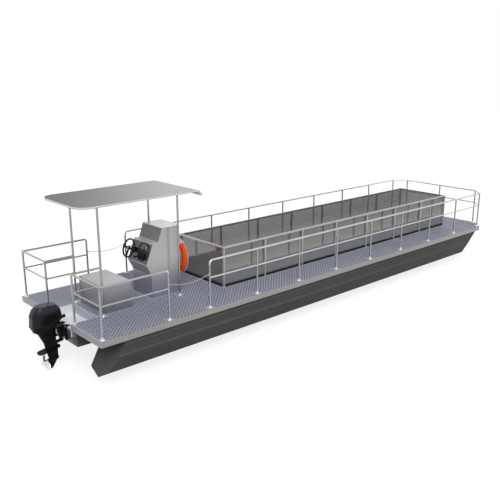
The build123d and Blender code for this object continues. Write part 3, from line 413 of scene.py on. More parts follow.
@dataclass(frozen=True)
class Finish:
    """One surface finish and the values that its material is built from.

    Attributes:
        name: Name of the material.
        base: Main colour, linear.
        shade: Second colour, in soft patches.
        roughness: Middle of the roughness.
        relief: Kind of fine relief.
        metallic: Share of metal, 0 to 1.
        coat: Weight of a clear coat.
        patches: How much of the second colour shows.
        patch_scale: Patches to the metre.
        spread: How far the roughness swings.
        grain: Relief features to the metre.
        depth: Strength of the relief.
        wear: Strength of rubbed edges.
        wear_colour: Colour of the rubbed edges.
        dust: Amount of settled dust.
        ior: Index of refraction of the surface.
        clear: Share of light that a smoked sheet lets through face on.
        fades: Slow changes of colour over the whole piece, most of them painted light and shade.
    """

    name: str
    base: Colour
    shade: Colour
    roughness: float
    relief: Relief = Relief.PAINT
    metallic: float = 0.0
    coat: float = 0.0
    patches: float = 0.5
    patch_scale: float = 1.6
    spread: float = 0.08
    grain: float = 420.0
    depth: float = 0.05
    wear: float = 0.0
    wear_colour: Colour = (0.62, 0.62, 0.62)
    dust: float = 0.0
    ior: float = 1.5
    clear: float = 0.0
    fades: tuple[Fade, ...] = ()

    def material(self) -> bpy.types.Material:
        """Build the material, or return the one built before."""
        found = bpy.data.materials.get(self.name)
        return found or self.build()

    def build(self) -> bpy.types.Material:
        """Wire the finish's effects into a new material."""
        material = bpy.data.materials.new(self.name)
        material.use_nodes = True
        material.node_tree.nodes.clear()
        wiring = Wiring(material.node_tree)
        output = wiring.add("ShaderNodeOutputMaterial")
        shader = wiring.add("ShaderNodeBsdfPrincipled")
        wiring.join(shader.outputs["BSDF"], output.inputs["Surface"])
        shader.inputs["Metallic"].default_value = self.metallic
        shader.inputs["IOR"].default_value = self.ior
        shader.inputs["Coat Weight"].default_value = self.coat
        shader.inputs["Coat Roughness"].default_value = COAT_ROUGHNESS

        mottle = self.effect(wiring, Effect.MOTTLE, {
            "Base": (*self.base, 1.0),
            "Shade": (*self.shade, 1.0),
            "Amount": self.patches,
            "Scale": self.patch_scale,
            "Roughness": self.roughness,
            "Spread": self.spread,
        })
        colour, roughness = mottle.outputs["Color"], mottle.outputs["Roughness"]
        for fade in self.fades:
            limits = {"Direction": fade.direction, "Start": fade.start, "End": fade.end}
            change = self.effect(wiring, Effect.FADE, limits)
            colour = wiring.blend(change.outputs["Mask"], colour, (*fade.colour, 1.0))
        if self.wear:
            edges = self.effect(wiring, Effect.EDGE_WEAR, {"Width": WEAR_WIDTH, "Strength": self.wear})
            colour = wiring.blend(edges.outputs["Mask"], colour, (*self.wear_colour, 1.0))
        if self.dust:
            dust = self.effect(wiring, Effect.SETTLED_DUST, {"Amount": self.dust}).outputs["Mask"]
            colour = wiring.blend(dust, colour, DUST_COLOUR)
            roughness = wiring.sum("ADD", roughness, wiring.sum("MULTIPLY", dust, DUST_ROUGHNESS))
        wiring.join(colour, shader.inputs["Base Color"])
        wiring.join(roughness, shader.inputs["Roughness"])
        if self.clear:
            slant = wiring.add("ShaderNodeLayerWeight")
            slant.inputs["Blend"].default_value = SLANT_BLEND
            dense = wiring.sum("MULTIPLY", slant.outputs["Facing"], self.clear)
            wiring.join(wiring.sum("ADD", dense, 1.0 - self.clear), shader.inputs["Alpha"])

        relief = self.effect(wiring, self.relief.value, {"Scale": self.grain})
        bump = wiring.add("ShaderNodeBump")
        bump.inputs["Strength"].default_value = self.depth
        bump.inputs["Distance"].default_value = RELIEF_STEP
        wiring.join(relief.outputs["Height"], bump.inputs["Height"])
        wiring.join(bump.outputs["Normal"], shader.inputs["Normal"])
        return material

    @staticmethod
    def effect(wiring: Wiring, effect: Effect, values: dict[str, object]) -> bpy.types.Node:
        """Place a shared effect's node group in a material.

        Args:
            wiring: The material's wiring.
            effect: The effect.
            values: Plain values of the group's inputs, by name.

        Returns:
            The group's node.
        """
        node = wiring.add("ShaderNodeGroup", node_tree=EFFECTS.get(effect))
        for name, value in values.items():
            node.inputs[name].default_value = value
        return node


HULL_PAINT = Finish(
    "dark_hull_paint", (0.104, 0.104, 0.102), (0.084, 0.084, 0.084), 0.55,
    patches=0.55, patch_scale=0.7, depth=0.06, wear=0.25, wear_colour=(0.2, 0.2, 0.2), ior=1.15,
)
DECK_PAINT = Finish(
    "blue_grey_deck", (0.42, 0.435, 0.537), (0.358, 0.371, 0.458), 0.5,
    metallic=0.08, patches=0.6, patch_scale=1.1, depth=0.05, dust=0.06, ior=1.2,
)
# Near-white towards the tray at |y| 0.46; the outer faces are darkened as painted shade.
WELL_PAINT_AND_SHADE = Finish(
    "well_wall_paint_and_shade", (0.46, 0.475, 0.56), (0.4, 0.412, 0.49), 0.4,
    patches=0.5, patch_scale=2.0, depth=0.05,
    fades=tuple(
        Fade(colour, (0.0, float(side), 0.0), start, end)
        for colour, start, end in (((0.9, 0.905, 0.92), 0.452, 0.462), ((0.15, 0.15, 0.155), 0.474, 0.484))
        for side in SIDES
    ),
)
TREAD_PAINT = Finish(
    "worn_tread", (0.055, 0.056, 0.076), (0.085, 0.087, 0.112), 0.5,
    patches=0.5, patch_scale=2.4, depth=0.04, ior=1.15,
)
TRIM_PAINT = Finish(
    "pale_edge_paint", (0.43, 0.42, 0.4), (0.36, 0.355, 0.34), 0.4,
    patches=0.5, patch_scale=0.8, depth=0.05, wear=0.3, coat=0.1,
)
# Painted shade: the white pod turns dark below the tray, in place of the shadow under the motor well.
POD_PAINT_SHADED_BELOW = Finish(
    "white_tray_paint_shaded_below", (0.95, 0.955, 0.97), (0.88, 0.885, 0.9), 0.3,
    patches=0.4, patch_scale=2.0, depth=0.05, coat=0.2,
    fades=(Fade((0.13, 0.13, 0.135), DOWN, -0.386, -0.32),),
)
RAIL_METAL = Finish(
    "brushed_rail_tube", (0.6, 0.6, 0.61), (0.48, 0.48, 0.49), 0.26, Relief.BRUSHED,
    metallic=1.0, patches=0.5, patch_scale=2.2, grain=900.0, depth=0.06,
)
# Painted shade: darker copies of the rail tube for the posts and the stern rails, in place of their darker
# reflections.
POST_METAL_SHADED = replace(
    RAIL_METAL, name="brushed_post_tube_shaded",
    base=(0.36, 0.36, 0.365), shade=(0.3, 0.3, 0.305), roughness=0.28,
)
STERN_METAL_SHADED = replace(
    RAIL_METAL, name="brushed_stern_tube_shaded",
    base=(0.45, 0.45, 0.455), shade=(0.37, 0.37, 0.375), roughness=0.28,
)
COVER_METAL = Finish(
    "polished_foot_cover", (0.84, 0.84, 0.84), (0.74, 0.74, 0.74), 0.24, Relief.BRUSHED,
    metallic=0.7, patches=0.4, patch_scale=9.0, grain=1500.0, depth=0.05,
)
EYE_METAL = Finish(
    "galvanised_eye", (0.48, 0.48, 0.49), (0.36, 0.36, 0.37), 0.4, Relief.BRUSHED,
    metallic=0.8, patches=0.6, patch_scale=14.0, grain=1500.0, depth=0.1,
)
ROPE_YARN = Finish(
    "pale_rope_yarn", (0.66, 0.66, 0.64), (0.48, 0.47, 0.45), 0.85, Relief.FIBRE,
    patches=0.7, patch_scale=26.0, grain=1400.0, depth=0.5,
)
HOLD_FRAME = Finish(
    "satin_hold_frame", (0.5, 0.49, 0.47), (0.4, 0.395, 0.38), 0.36, Relief.BRUSHED,
    metallic=0.5, patches=0.5, patch_scale=1.4, grain=700.0, depth=0.05,
)
HOLD_SHEET = Finish(
    "smoked_hold_sheet", (0.33, 0.324, 0.31), (0.285, 0.28, 0.27), 0.06,
    metallic=0.5, patches=0.5, patch_scale=0.6, spread=0.03, grain=60.0, depth=0.008, clear=0.38,
)
# Painted light and shade: the side sheets are a darker copy of the end sheets and turn lighter towards the bottom.
HOLD_SIDE_PAINTED_LIGHT = replace(
    HOLD_SHEET, name="smoked_hold_side_painted_light", base=(0.26, 0.255, 0.242), shade=(0.225, 0.221, 0.211),
    fades=(Fade((0.44, 0.44, 0.455), DOWN, -1.15, -0.65),),
)
BASE_RUBBER = Finish(
    "black_base_rubber", (0.016, 0.016, 0.016), (0.03, 0.03, 0.03), 0.7, Relief.MOULDED,
    patches=0.6, patch_scale=5.0, grain=700.0, depth=0.12, ior=1.2,
)
HOLD_FLOOR = Finish(
    "worn_hold_floor", (0.56, 0.56, 0.56), (0.46, 0.46, 0.46), 0.5,
    patches=0.7, patch_scale=1.2, depth=0.08, dust=0.12,
)
# Painted shade: the seat box turns a darker blue-grey towards its foot.
SEAT_PAINT_SHADED_BELOW = Finish(
    "grey_seat_paint_shaded_below", (0.38, 0.384, 0.404), (0.325, 0.328, 0.347), 0.24,
    metallic=0.35, patches=0.5, patch_scale=1.5, depth=0.03, wear=0.2, coat=0.15,
    fades=(Fade((0.23, 0.234, 0.272), DOWN, -0.98, -0.6),),
)
SEAT_TOP = Finish(
    "pale_seat_lid", (0.465, 0.47, 0.475), (0.405, 0.41, 0.412), 0.22,
    metallic=0.25, patches=0.5, patch_scale=1.6, depth=0.03, wear=0.25, coat=0.2, dust=0.06,
)
HINGE_METAL = Finish(
    "bright_hinge_metal", (0.6, 0.6, 0.6), (0.5, 0.5, 0.5), 0.32, Relief.BRUSHED,
    metallic=0.9, patches=0.5, patch_scale=8.0, grain=1400.0, depth=0.08,
)
# Painted light and shade: the console darkens to blue-grey towards its foot, and its top face is painted
# near-white as a highlight.
CONSOLE_PAINT_AND_LIGHT = Finish(
    "warm_console_paint_and_light", (0.56, 0.556, 0.545), (0.49, 0.487, 0.477), 0.24,
    metallic=0.3, patches=0.45, patch_scale=1.3, depth=0.03, wear=0.2, coat=0.15,
    fades=(
        Fade((0.3, 0.304, 0.368), DOWN, -1.45, -0.62),
        Fade((0.95, 0.99, 0.99), UP, 1.94, 1.945),
    ),
)
LEDGE_PAINT = Finish(
    "cool_ledge_paint", (0.72, 0.74, 0.82), (0.63, 0.65, 0.71), 0.28,
    patches=0.4, patch_scale=3.0, depth=0.04, wear=0.2, coat=0.25,
)
SCREEN_GLOSS = Finish(
    "dark_screen_sheet", (0.16, 0.164, 0.172), (0.125, 0.13, 0.138), 0.16,
    patches=0.4, patch_scale=1.8, spread=0.05, grain=80.0, depth=0.02, coat=0.4,
)
DASH_GLOSS = Finish(
    "dark_dash_sheet", (0.075, 0.075, 0.078), (0.05, 0.049, 0.047), 0.14,
    patches=0.5, patch_scale=3.0, spread=0.05, grain=90.0, depth=0.02, coat=0.3,
)
HELM_BLACK = Finish(
    "moulded_helm_black", (0.009, 0.009, 0.01), (0.016, 0.016, 0.017), 0.42, Relief.MOULDED,
    patches=0.5, patch_scale=12.0, grain=1100.0, depth=0.12, ior=1.2,
)
RING_ORANGE = Finish(
    "life_ring_orange", (1.0, 0.113, 0.009), (0.95, 0.1, 0.008), 0.45, Relief.MOULDED,
    patches=0.5, patch_scale=6.0, grain=800.0, depth=0.06, ior=1.2,
)
BAND_WHITE = Finish(
    "reflective_band", (0.78, 0.78, 0.78), (0.66, 0.66, 0.66), 0.35, Relief.FIBRE,
    patches=0.5, patch_scale=14.0, grain=1600.0, depth=0.15,
)
# Painted reflection: the dark shell lightens along a diagonal across the roof, in place of a satin metal's
# reflection; it is near-white along its front edge.
CANOPY_SHELL_PAINTED_REFLECTION = Finish(
    "canopy_shell_painted_reflection", (0.058, 0.058, 0.056), (0.05, 0.05, 0.048), 0.3,
    patches=0.5, patch_scale=0.8, depth=0.03, ior=1.2,
    fades=(
        Fade((0.45, 0.455, 0.45), (0.8, -0.6, 0.0), -5.1, -2.5),
        Fade((0.9, 0.905, 0.91), (1.0, 0.0, 0.0), -3.49, -3.43),
    ),
)
CANOPY_TRIM = Finish(
    "bright_canopy_trim", (0.78, 0.78, 0.78), (0.68, 0.68, 0.68), 0.26, Relief.BRUSHED,
    metallic=0.35, patches=0.4, patch_scale=3.0, grain=800.0, depth=0.04,
)
MOTOR_BLACK = Finish(
    "gloss_motor_black", (0.0065, 0.0065, 0.007), (0.011, 0.011, 0.0115), 0.2,
    patches=0.5, patch_scale=6.0, grain=500.0, depth=0.03, ior=1.28,
    wear=0.08, wear_colour=(0.04, 0.04, 0.04),
)
# Painted reflection: the black cowl turns a lighter blue-black on its upper part.
COWL_BLACK_PAINTED_REFLECTION = replace(
    MOTOR_BLACK, name="gloss_cowl_black_painted_reflection", fades=(Fade((0.024, 0.026, 0.036), UP, 0.72, 0.82),),
)
LEG_BLACK = Finish(
    "satin_leg_black", (0.004, 0.004, 0.0043), (0.007, 0.007, 0.0075), 0.32,
    patches=0.5, patch_scale=7.0, grain=500.0, depth=0.05, ior=1.16,
    wear=0.08, wear_colour=(0.03, 0.03, 0.03),
)
BRACKET_BLACK = Finish(
    "satin_bracket_black", (0.008, 0.008, 0.0085), (0.015, 0.015, 0.0155), 0.42,
    patches=0.6, patch_scale=9.0, depth=0.1, wear=0.12, wear_colour=(0.06, 0.06, 0.06), ior=1.16,
)
TILT_STEEL = Finish(
    "turned_tilt_steel", (0.42, 0.42, 0.42), (0.32, 0.32, 0.32), 0.3, Relief.BRUSHED,
    metallic=0.95, patches=0.5, patch_scale=12.0, grain=1500.0, depth=0.08,
)
CAST_METAL = Finish(
    "cast_engine_block", (0.3, 0.3, 0.3), (0.2, 0.2, 0.2), 0.6, Relief.MOULDED,
    metallic=0.7, patches=0.7, patch_scale=12.0, grain=500.0, depth=0.3,
)
PROP_METAL = Finish(
    "polished_propeller", (0.8, 0.775, 0.73), (0.66, 0.64, 0.6), 0.2, Relief.BRUSHED,
    metallic=0.9, patches=0.5, patch_scale=16.0, grain=1200.0, depth=0.06,
    wear=0.3, wear_colour=(0.85, 0.83, 0.8),
)
BOLT_METAL = Finish(
    "stainless_bolt", (0.7, 0.7, 0.7), (0.58, 0.58, 0.58), 0.28, Relief.BRUSHED,
    metallic=0.9, patches=0.4, patch_scale=20.0, grain=1800.0, depth=0.05,
)
SLOT_FINISHES: dict[str, Finish] = {
    "hull_paint": HULL_PAINT,
    "deck_tread": DECK_PAINT,
    "edge_trim": TRIM_PAINT,
    "pod_paint": POD_PAINT_SHADED_BELOW,
    "rail_metal": RAIL_METAL,
    "eye_metal": EYE_METAL,
    "rope": ROPE_YARN,
    "hold_frame": HOLD_FRAME,
    "hold_panel": HOLD_SHEET,
    "hold_base": BASE_RUBBER,
    "hold_floor": HOLD_FLOOR,
    "seat_paint": SEAT_PAINT_SHADED_BELOW,
    "seat_top": SEAT_TOP,
    "hinge_metal": HINGE_METAL,
    "console_paint": CONSOLE_PAINT_AND_LIGHT,
    "console_ledge": LEDGE_PAINT,
    "console_dark": SCREEN_GLOSS,
    "helm_black": HELM_BLACK,
    "ring_orange": RING_ORANGE,
    "canopy_shell": CANOPY_SHELL_PAINTED_REFLECTION,
    "motor_black": MOTOR_BLACK,
    "bracket_black": BRACKET_BLACK,
    "tilt_steel": TILT_STEEL,
    "block_metal": CAST_METAL,
    "prop_metal": PROP_METAL,
}
NODE_FINISHES: dict[str, Finish] = {
    "dash_panel": DASH_GLOSS,
    "well_walls": WELL_PAINT_AND_SHADE,
    "hold_panels_port": HOLD_SIDE_PAINTED_LIGHT,
    "hold_panels_starboard": HOLD_SIDE_PAINTED_LIGHT,
    "forward_rail_posts": POST_METAL_SHADED,
    "stern_rail_posts": POST_METAL_SHADED,
    "canopy_posts": POST_METAL_SHADED,
    "stern_top_rails": STERN_METAL_SHADED,
    "stern_mid_rails": STERN_METAL_SHADED,
    "engine_cowl": COWL_BLACK_PAINTED_REFLECTION,
    "drive_leg": LEG_BLACK,
    "gearcase": LEG_BLACK,
}


def axes_frame(origin: Vector, outward: Vector, upward: Vector) -> Matrix:
    """Frame with z along outward and y near upward.

    Args:
        origin: Where the frame stands.
        outward: Direction of its z.
        upward: Direction that its y leans to.

    Returns:
        The frame's matrix.
    """
    z_axis = outward.normalized()
    x_axis = upward.cross(z_axis).normalized()
    y_axis = z_axis.cross(x_axis)
    matrix = Matrix((x_axis, y_axis, z_axis)).transposed().to_4x4()
    matrix.translation = origin
    return matrix


def circle(place: Matrix, radius: float, count: int, height: float = 0.0) -> list[Vector]:
    """Points of a circle round a frame's z.

    Args:
        place: The frame.
        radius: The circle's radius.
        count: How many points it has.
        height: How far up the frame's z it lies.

    Returns:
        The points.
    """
    angles = [math.tau * step / count for step in range(count)]
    return [place @ Vector((radius * math.cos(angle), radius * math.sin(angle), height)) for angle in angles]


def quarter(first: float, turn: int, steps: int) -> list[Vector]:
    """Directions over a quarter turn about z.

    Args:
        first: Angle of the first one, in degrees from x.
        turn: 1 to go on from x to y, -1 to go the other way.
        steps: Steps in the quarter.

    Returns:
        The directions, one more than the steps.
    """
    angles = [math.radians(first + turn * 90 * step / steps) for step in range(steps + 1)]
    return [Vector((math.cos(angle), math.sin(angle), 0)) for angle in angles]


@dataclass
class MeshPile:
    """Many small shapes gathered into one mesh."""

    points: list[Vector] = field(default_factory=list)
    faces: list[tuple[int, ...]] = field(default_factory=list)

    def add(self, points: Iterable[Vector], faces: Iterable[Sequence[int]]) -> None:
        """Add points and the faces between them."""
        first = len(self.points)
        self.points.extend(points)
        self.faces.extend(tuple(first + index for index in face) for face in faces)

    def rings(self, rings: Sequence[Sequence[Vector]], closed: bool = False, capped: bool = True) -> None:
        """Skin a row of rings with as many points each.

        Args:
            rings: Rings of points, each going round the same way.
            closed: Whether the last ring joins the first.
            capped: Whether an open row gets end faces.
        """
        count = len(rings[0])
        faces: list[tuple[int, ...]] = []
        spans = len(rings) if closed else len(rings) - 1
        for row in range(spans):
            here, there = row * count, (row + 1) % len(rings) * count
            for step in range(count):
                after = (step + 1) % count
                faces.append((here + step, here + after, there + after, there + step))
        if capped and not closed:
            last = (len(rings) - 1) * count
            faces.append(tuple(reversed(range(count))))
            faces.append(tuple(range(last, last + count)))
        self.add([point for ring in rings for point in ring], faces)

    def turned(self, profile: Iterable[tuple[float, float]], place: Matrix, segments: int) -> None:
        """Turn a profile of (radius, height) round a frame's z."""
        self.rings([circle(place, radius, segments, height) for radius, height in profile])

    def flat(self, place: Matrix, corners: Sequence[tuple[float, float]]) -> None:
        """Add one flat face in a frame's own plane."""
        self.add([place @ Vector((x, y, 0)) for x, y in corners], [range(len(corners))])

    def tube(self, line: Sequence[Vector], radius: float, sides: int, closed: bool = False) -> None:
        """Draw a round tube along a line of points."""
        rings = []
        count = len(line)
        for index, point in enumerate(line):
            before = line[index - 1] if index or closed else point
            after = line[(index + 1) % count] if index + 1 < count or closed else point
            along = (after - before).normalized()
            lean = Vector(UP) if abs(along.z) < STEEP else Vector((0, 1, 0))
            rings.append(circle(axes_frame(point, along, lean), radius, sides))
        self.rings(rings, closed)

    def piece(self, name: str, finish: Finish, body: str, slot: str) -> bpy.types.Object:
        """Make the pile an object that rides on a body.

        Args:
            name: The piece's name.
            finish: Its finish.
            body: The CAD body that it moves with.
            slot: The record's material slot; not used.

        Returns:
            The new object.
        """
        mesh = bpy.data.meshes.new(name)
        mesh.from_pydata([tuple(point) for point in self.points], [], self.faces)
        mesh.polygons.foreach_set("use_smooth", [True] * len(mesh.polygons))
        mesh.set_sharp_from_angle(angle=SMOOTH_ANGLE)
        mesh.materials.append(finish.material())
        piece = bpy.data.objects.new(name, mesh)
        bpy.context.scene.collection.objects.link(piece)
        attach(piece, body)
        LOG.info("%s: %d faces on %s", name, len(self.faces), body)
        return piece


def solid_boxes(node: str) -> list[tuple[Vector, Vector]]:
    """Boxes of the separate solids in a CAD node.

    Args:
        node: The node's name.

    Returns:
        Lowest and highest corner of each solid.
    """
    mesh = frame["nodes"][node].data
    keys = [tuple(round(value, WELD_DECIMALS) for value in vertex.co) for vertex in mesh.vertices]
    parent = {key: key for key in keys}

    def root(key: Point) -> Point:
        """Follow a point to the one that stands for its solid."""
        while parent[key] != key:
            parent[key] = parent[parent[key]]
            key = parent[key]
        return key

    for polygon in mesh.polygons:
        corners = [keys[index] for index in polygon.vertices]
        for corner in corners[1:]:
            parent[root(corner)] = root(corners[0])
    groups: dict[Point, list[Point]] = {}
    for key in parent:
        groups.setdefault(root(key), []).append(key)
    boxes = []
    for points in groups.values():
        boxes.append((Vector(np.min(points, axis=0)), Vector(np.max(points, axis=0))))
    return boxes


def foot_box(node: str, height: float = 0.02) -> tuple[Vector, Vector]:
    """Box of a CAD node's foot.

    Args:
        node: The node's name.
        height: How high the foot reaches above the node's lowest point.

    Returns:
        Lowest and highest corner.
    """
    points = [vertex.co for vertex in frame["nodes"][node].data.vertices]
    level = min(point.z for point in points) + height
    foot = [point for point in points if point.z < level]
    return Vector(np.min(foot, axis=0)), Vector(np.max(foot, axis=0))


def reach(node: str, direction: Vector) -> float:
    """How far a CAD node reaches along a direction, from the origin."""
    return max(vertex.co.dot(direction) for vertex in frame["nodes"][node].data.vertices)


def joint(name: str) -> tuple[Vector, Vector]:
    """Place and axis of a joint in the record."""
    found = next(row for row in frame["joints"] if row["name"] == name)
    return Vector(found["pos_m"]), Vector(found["axis"])


@dataclass
class Bolts:
    """Hexagon bolt heads on washers, gathered into one piece."""

    head: float = 0.0055
    height: float = 0.004
    chamfer: float = 0.0008
    crown_share: float = 0.85
    washer: float = 0.008
    washer_height: float = 0.0012
    washer_sides: int = 14
    pile: MeshPile = field(default_factory=MeshPile)

    def add(self, place: Vector, outward: Vector, scale: float = 1.0) -> None:
        """Add a bolt on a face.

        Args:
            place: Point on the face.
            outward: The face's direction.
            scale: Size of the bolt beside the usual one.
        """
        lean = Vector((1, 0, 0)) if abs(outward.x) < STEEP else Vector(UP)
        stand = axes_frame(place, outward, lean) @ Matrix.Scale(scale, 4)
        top = self.washer_height
        peak = top + self.height
        self.pile.turned([(self.washer, 0), (self.washer, top)], stand, self.washer_sides)
        crown = (self.head * self.crown_share, peak)
        self.pile.turned([(self.head, top), (self.head, peak - self.chamfer), crown], stand, HEXAGON)


@dataclass
class Tread:
    """Checker plate: raised lozenges that lie along and across by turns."""

    pitch: float = 0.0775
    length: float = 0.066
    width: float = 0.028
    height: float = 0.0024
    top_share: float = 0.6

    def lay(self, low: Vector, high: Vector, bare: Callable[[float, float, Vector], bool]) -> MeshPile:
        """Lay lozenges on top of a plate.

        Args:
            low: Lowest corner of the plate's box.
            high: Its highest corner.
            bare: Tells whether a lozenge at x and y, of a half size, lies clear.

        Returns:
            The lozenges.
        """
        pile = MeshPile()
        columns = int((high.x - low.x) / self.pitch)
        rows = int((high.y - low.y) / self.pitch)
        faces = [(0, 1, 5, 4), (1, 2, 6, 5), (2, 3, 7, 6), (3, 0, 4, 7), (4, 5, 6, 7)]
        for half_column in range(2 * columns):
            across = half_column % 2
            half = Vector((self.width, self.length, 0) if across else (self.length, self.width, 0)) / 2
            tips = [(half.x, 0), (0, half.y), (-half.x, 0), (0, -half.y)]
            for half_row in range(across, 2 * rows, 2):
                x = low.x + (half_column + 0.5) * self.pitch / 2
                y = low.y + (half_row + 0.5) * self.pitch / 2
                if bare(x, y, half):
                    foot = [Vector((x + dx, y + dy, high.z)) for dx, dy in tips]
                    share, top = self.top_share, high.z + self.height
                    crown = [Vector((x + dx * share, y + dy * share, top)) for dx, dy in tips]
                    pile.add(foot + crown, faces)
        return pile


@dataclass
class Deck:
    """Tread of the deck and of the hold's floor, and the bolts along the motor well."""

    margin: float = 0.008
    foot_margin: float = 0.012
    bow_chamfer: float = 0.35
    well_bolts: int = 8
    bolt_drop: float = 0.022
    bolt_scale: float = 2.4

    def keep_out(self) -> list[tuple[Vector, Vector]]:
        """Boxes of what stands on the deck, which the tread leaves free."""
        boxes = [foot_box(node) for node in ("hold_posts", "seat_box", "console_body")]
        low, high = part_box("engine_pod")
        low.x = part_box("deck_plate")[0].x
        rim = Vector((self.margin, self.margin, 0))
        boxes.append((low - rim, high + rim))
        ease = Vector((self.foot_margin, self.foot_margin, 0))
        for node in POST_NODES:
            boxes.extend((start - ease, end + ease) for start, end in solid_boxes(node))
        return boxes

    def tread(self) -> None:
        """Lay the lozenges on the deck, clear of all that stands on it, and on the hold's floor."""
        low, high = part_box("deck_plate")
        boxes = self.keep_out()

        def bare(x: float, y: float, half: Vector) -> bool:
            """Whether a lozenge lies on the deck, clear of its edges and of all boxes."""
            if not low.x + half.x < x < high.x - half.x or abs(y) > high.y - half.y:
                return False
            if (high.x - x) + (high.y - abs(y)) < self.bow_chamfer + half.x + half.y:
                return False
            return not any(
                start.x - half.x < x < end.x + half.x and start.y - half.y < y < end.y + half.y
                for start, end in boxes
            )

        Tread().lay(low, high, bare).piece("deck_tread_lozenges", TREAD_PAINT, "hull", "deck_tread")
        low_in, high_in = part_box("hold_floor")

        def inside(x: float, y: float, half: Vector) -> bool:
            """Whether a lozenge lies within the hold's floor."""
            return low_in.x + half.x < x < high_in.x - half.x and low_in.y + half.y < y < high_in.y - half.y

        Tread().lay(low_in, high_in, inside).piece("hold_tread_lozenges", TREAD_PAINT, "hull", "hold_floor")

    def build(self) -> None:
        """Lay the tread and drive the bolts."""
        self.tread()
        bolts = Bolts()
        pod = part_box("engine_pod")[1]
        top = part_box("deck_plate")[1].z
        for index in range(self.well_bolts):
            y = pod.y * (2 * (index + 0.5) / self.well_bolts - 1)
            bolts.add(Vector((pod.x, y, top - self.bolt_drop)), Vector((-1, 0, 0)), self.bolt_scale)
        bolts.pile.piece("well_wall_bolts", BOLT_METAL, "hull", "rail_metal")


@dataclass
class Rails:
    """Turned covers over the feet of the rail and canopy posts."""

    flange: float = 0.045
    flange_height: float = 0.005
    narrow_flange: float = 0.0348
    dome_inset: float = 0.004
    dome_edge: float = 0.0345
    dome_height: float = 0.0108
    crown_edge: float = 0.030
    crown_height: float = 0.0125
    collar: float = 0.0045
    collar_foot: float = 0.0135
    collar_height: float = 0.045
    lip_gap: float = 0.0005
    lip_height: float = 0.003
    post_radius: float = 0.019
    canopy_radius: float = 0.021
    segments: int = 28

    def profile(self, edge: float, radius: float) -> list[tuple[float, float]]:
        """Profile of one cover.

        Args:
            edge: Radius of its flange.
            radius: Radius of the post that stands in it.

        Returns:
            Radius and height of each step, from the deck up.
        """
        sleeve = radius + self.collar
        dome = (max(edge - self.dome_inset, self.dome_edge), self.dome_height)
        lip = (radius + self.lip_gap, self.collar_height + self.lip_height)
        return [
            (edge, 0.0), (edge, self.flange_height), dome, (self.crown_edge, self.crown_height),
            (sleeve, self.collar_foot), (sleeve, self.collar_height), lip,
        ]

    def build(self) -> None:
        """Cover every foot."""
        covers = MeshPile()
        pod_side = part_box("engine_pod")[1].y
        for node in POST_NODES:
            radius = self.canopy_radius if node == "canopy_posts" else self.post_radius
            for low, high in solid_boxes(node):
                centre = (low + high) / 2
                by_well = node == "stern_rail_posts" and abs(centre.y) - pod_side < self.flange
                edge = self.narrow_flange if by_well else self.flange
                place = Matrix.Translation((centre.x, centre.y, low.z))
                covers.turned(self.profile(edge, radius), place, self.segments)
        covers.piece("foot_covers", COVER_METAL, "hull", "rail_metal")


@dataclass
class GateRopes:
    """A slack laid rope across each gate, of three strands."""

    diameter: float = 0.012
    strands: int = 3
    lay: float = 0.042
    strand_share: float = 0.54
    strand_sides: int = 7
    length: float = 0.8527
    start_x: float = -4.698
    end_x: float = -3.857
    offset: float = 1.457
    height: float = 1.220
    curve_steps: int = 24
    curve_order: int = 3
    # Share of the span, and drop
    route: tuple[tuple[float, float], ...] = (
        (0.0, 0.0), (0.165, 0.033), (0.335, 0.056), (0.5, 0.065), (0.665, 0.057), (0.835, 0.034), (1.0, 0.0),
    )

    def line(self, side: int) -> list[Vector]:
        """Points along the smooth line of one rope.

        Args:
            side: 1 for port, -1 for starboard.

        Returns:
            Points read from the route's spline.
        """
        curve = bpy.data.curves.new("gate_rope_route", "CURVE")
        curve.dimensions = "3D"
        curve.resolution_u = self.curve_steps
        spline = curve.splines.new("NURBS")
        spline.points.add(len(self.route) - 1)
        for point, (share, drop) in zip(spline.points, self.route):
            x = self.start_x + share * (self.end_x - self.start_x)
            point.co = (x, side * self.offset, self.height - drop, 1)
        spline.order_u = self.curve_order
        spline.use_endpoint_u = True
        guide = bpy.data.objects.new("gate_rope_route", curve)
        mesh = bpy.data.meshes.new_from_object(guide)
        points = [vertex.co.copy() for vertex in mesh.vertices]
        bpy.data.objects.remove(guide)
        bpy.data.meshes.remove(mesh)
        bpy.data.curves.remove(curve)
        return points

    def build(self) -> None:
        """Lay three strands along each route."""
        strand_radius = self.diameter / 2 * self.strand_share
        twist_radius = self.diameter / 2 - strand_radius
        for side, name in zip(SIDES, ("port", "starboard")):
            path = self.line(side)
            pile = MeshPile()
            travelled = [0.0]
            for before, after in zip(path, path[1:]):
                travelled.append(travelled[-1] + (after - before).length)
            for strand in range(self.strands):
                helix = []
                for index, point in enumerate(path):
                    along = path[min(index + 1, len(path) - 1)] - path[max(index - 1, 0)]
                    place = axes_frame(point, along, Vector(UP))
                    angle = math.tau * (strand / self.strands + travelled[index] / self.lay)
                    helix.append(place @ (Vector((math.cos(angle), math.sin(angle), 0)) * twist_radius))
                pile.tube(helix, strand_radius, self.strand_sides)
            rope = pile.piece(f"laid_gate_rope_{name}", ROPE_YARN, "hull", "rope")
            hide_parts(f"gate_rope_{name}")


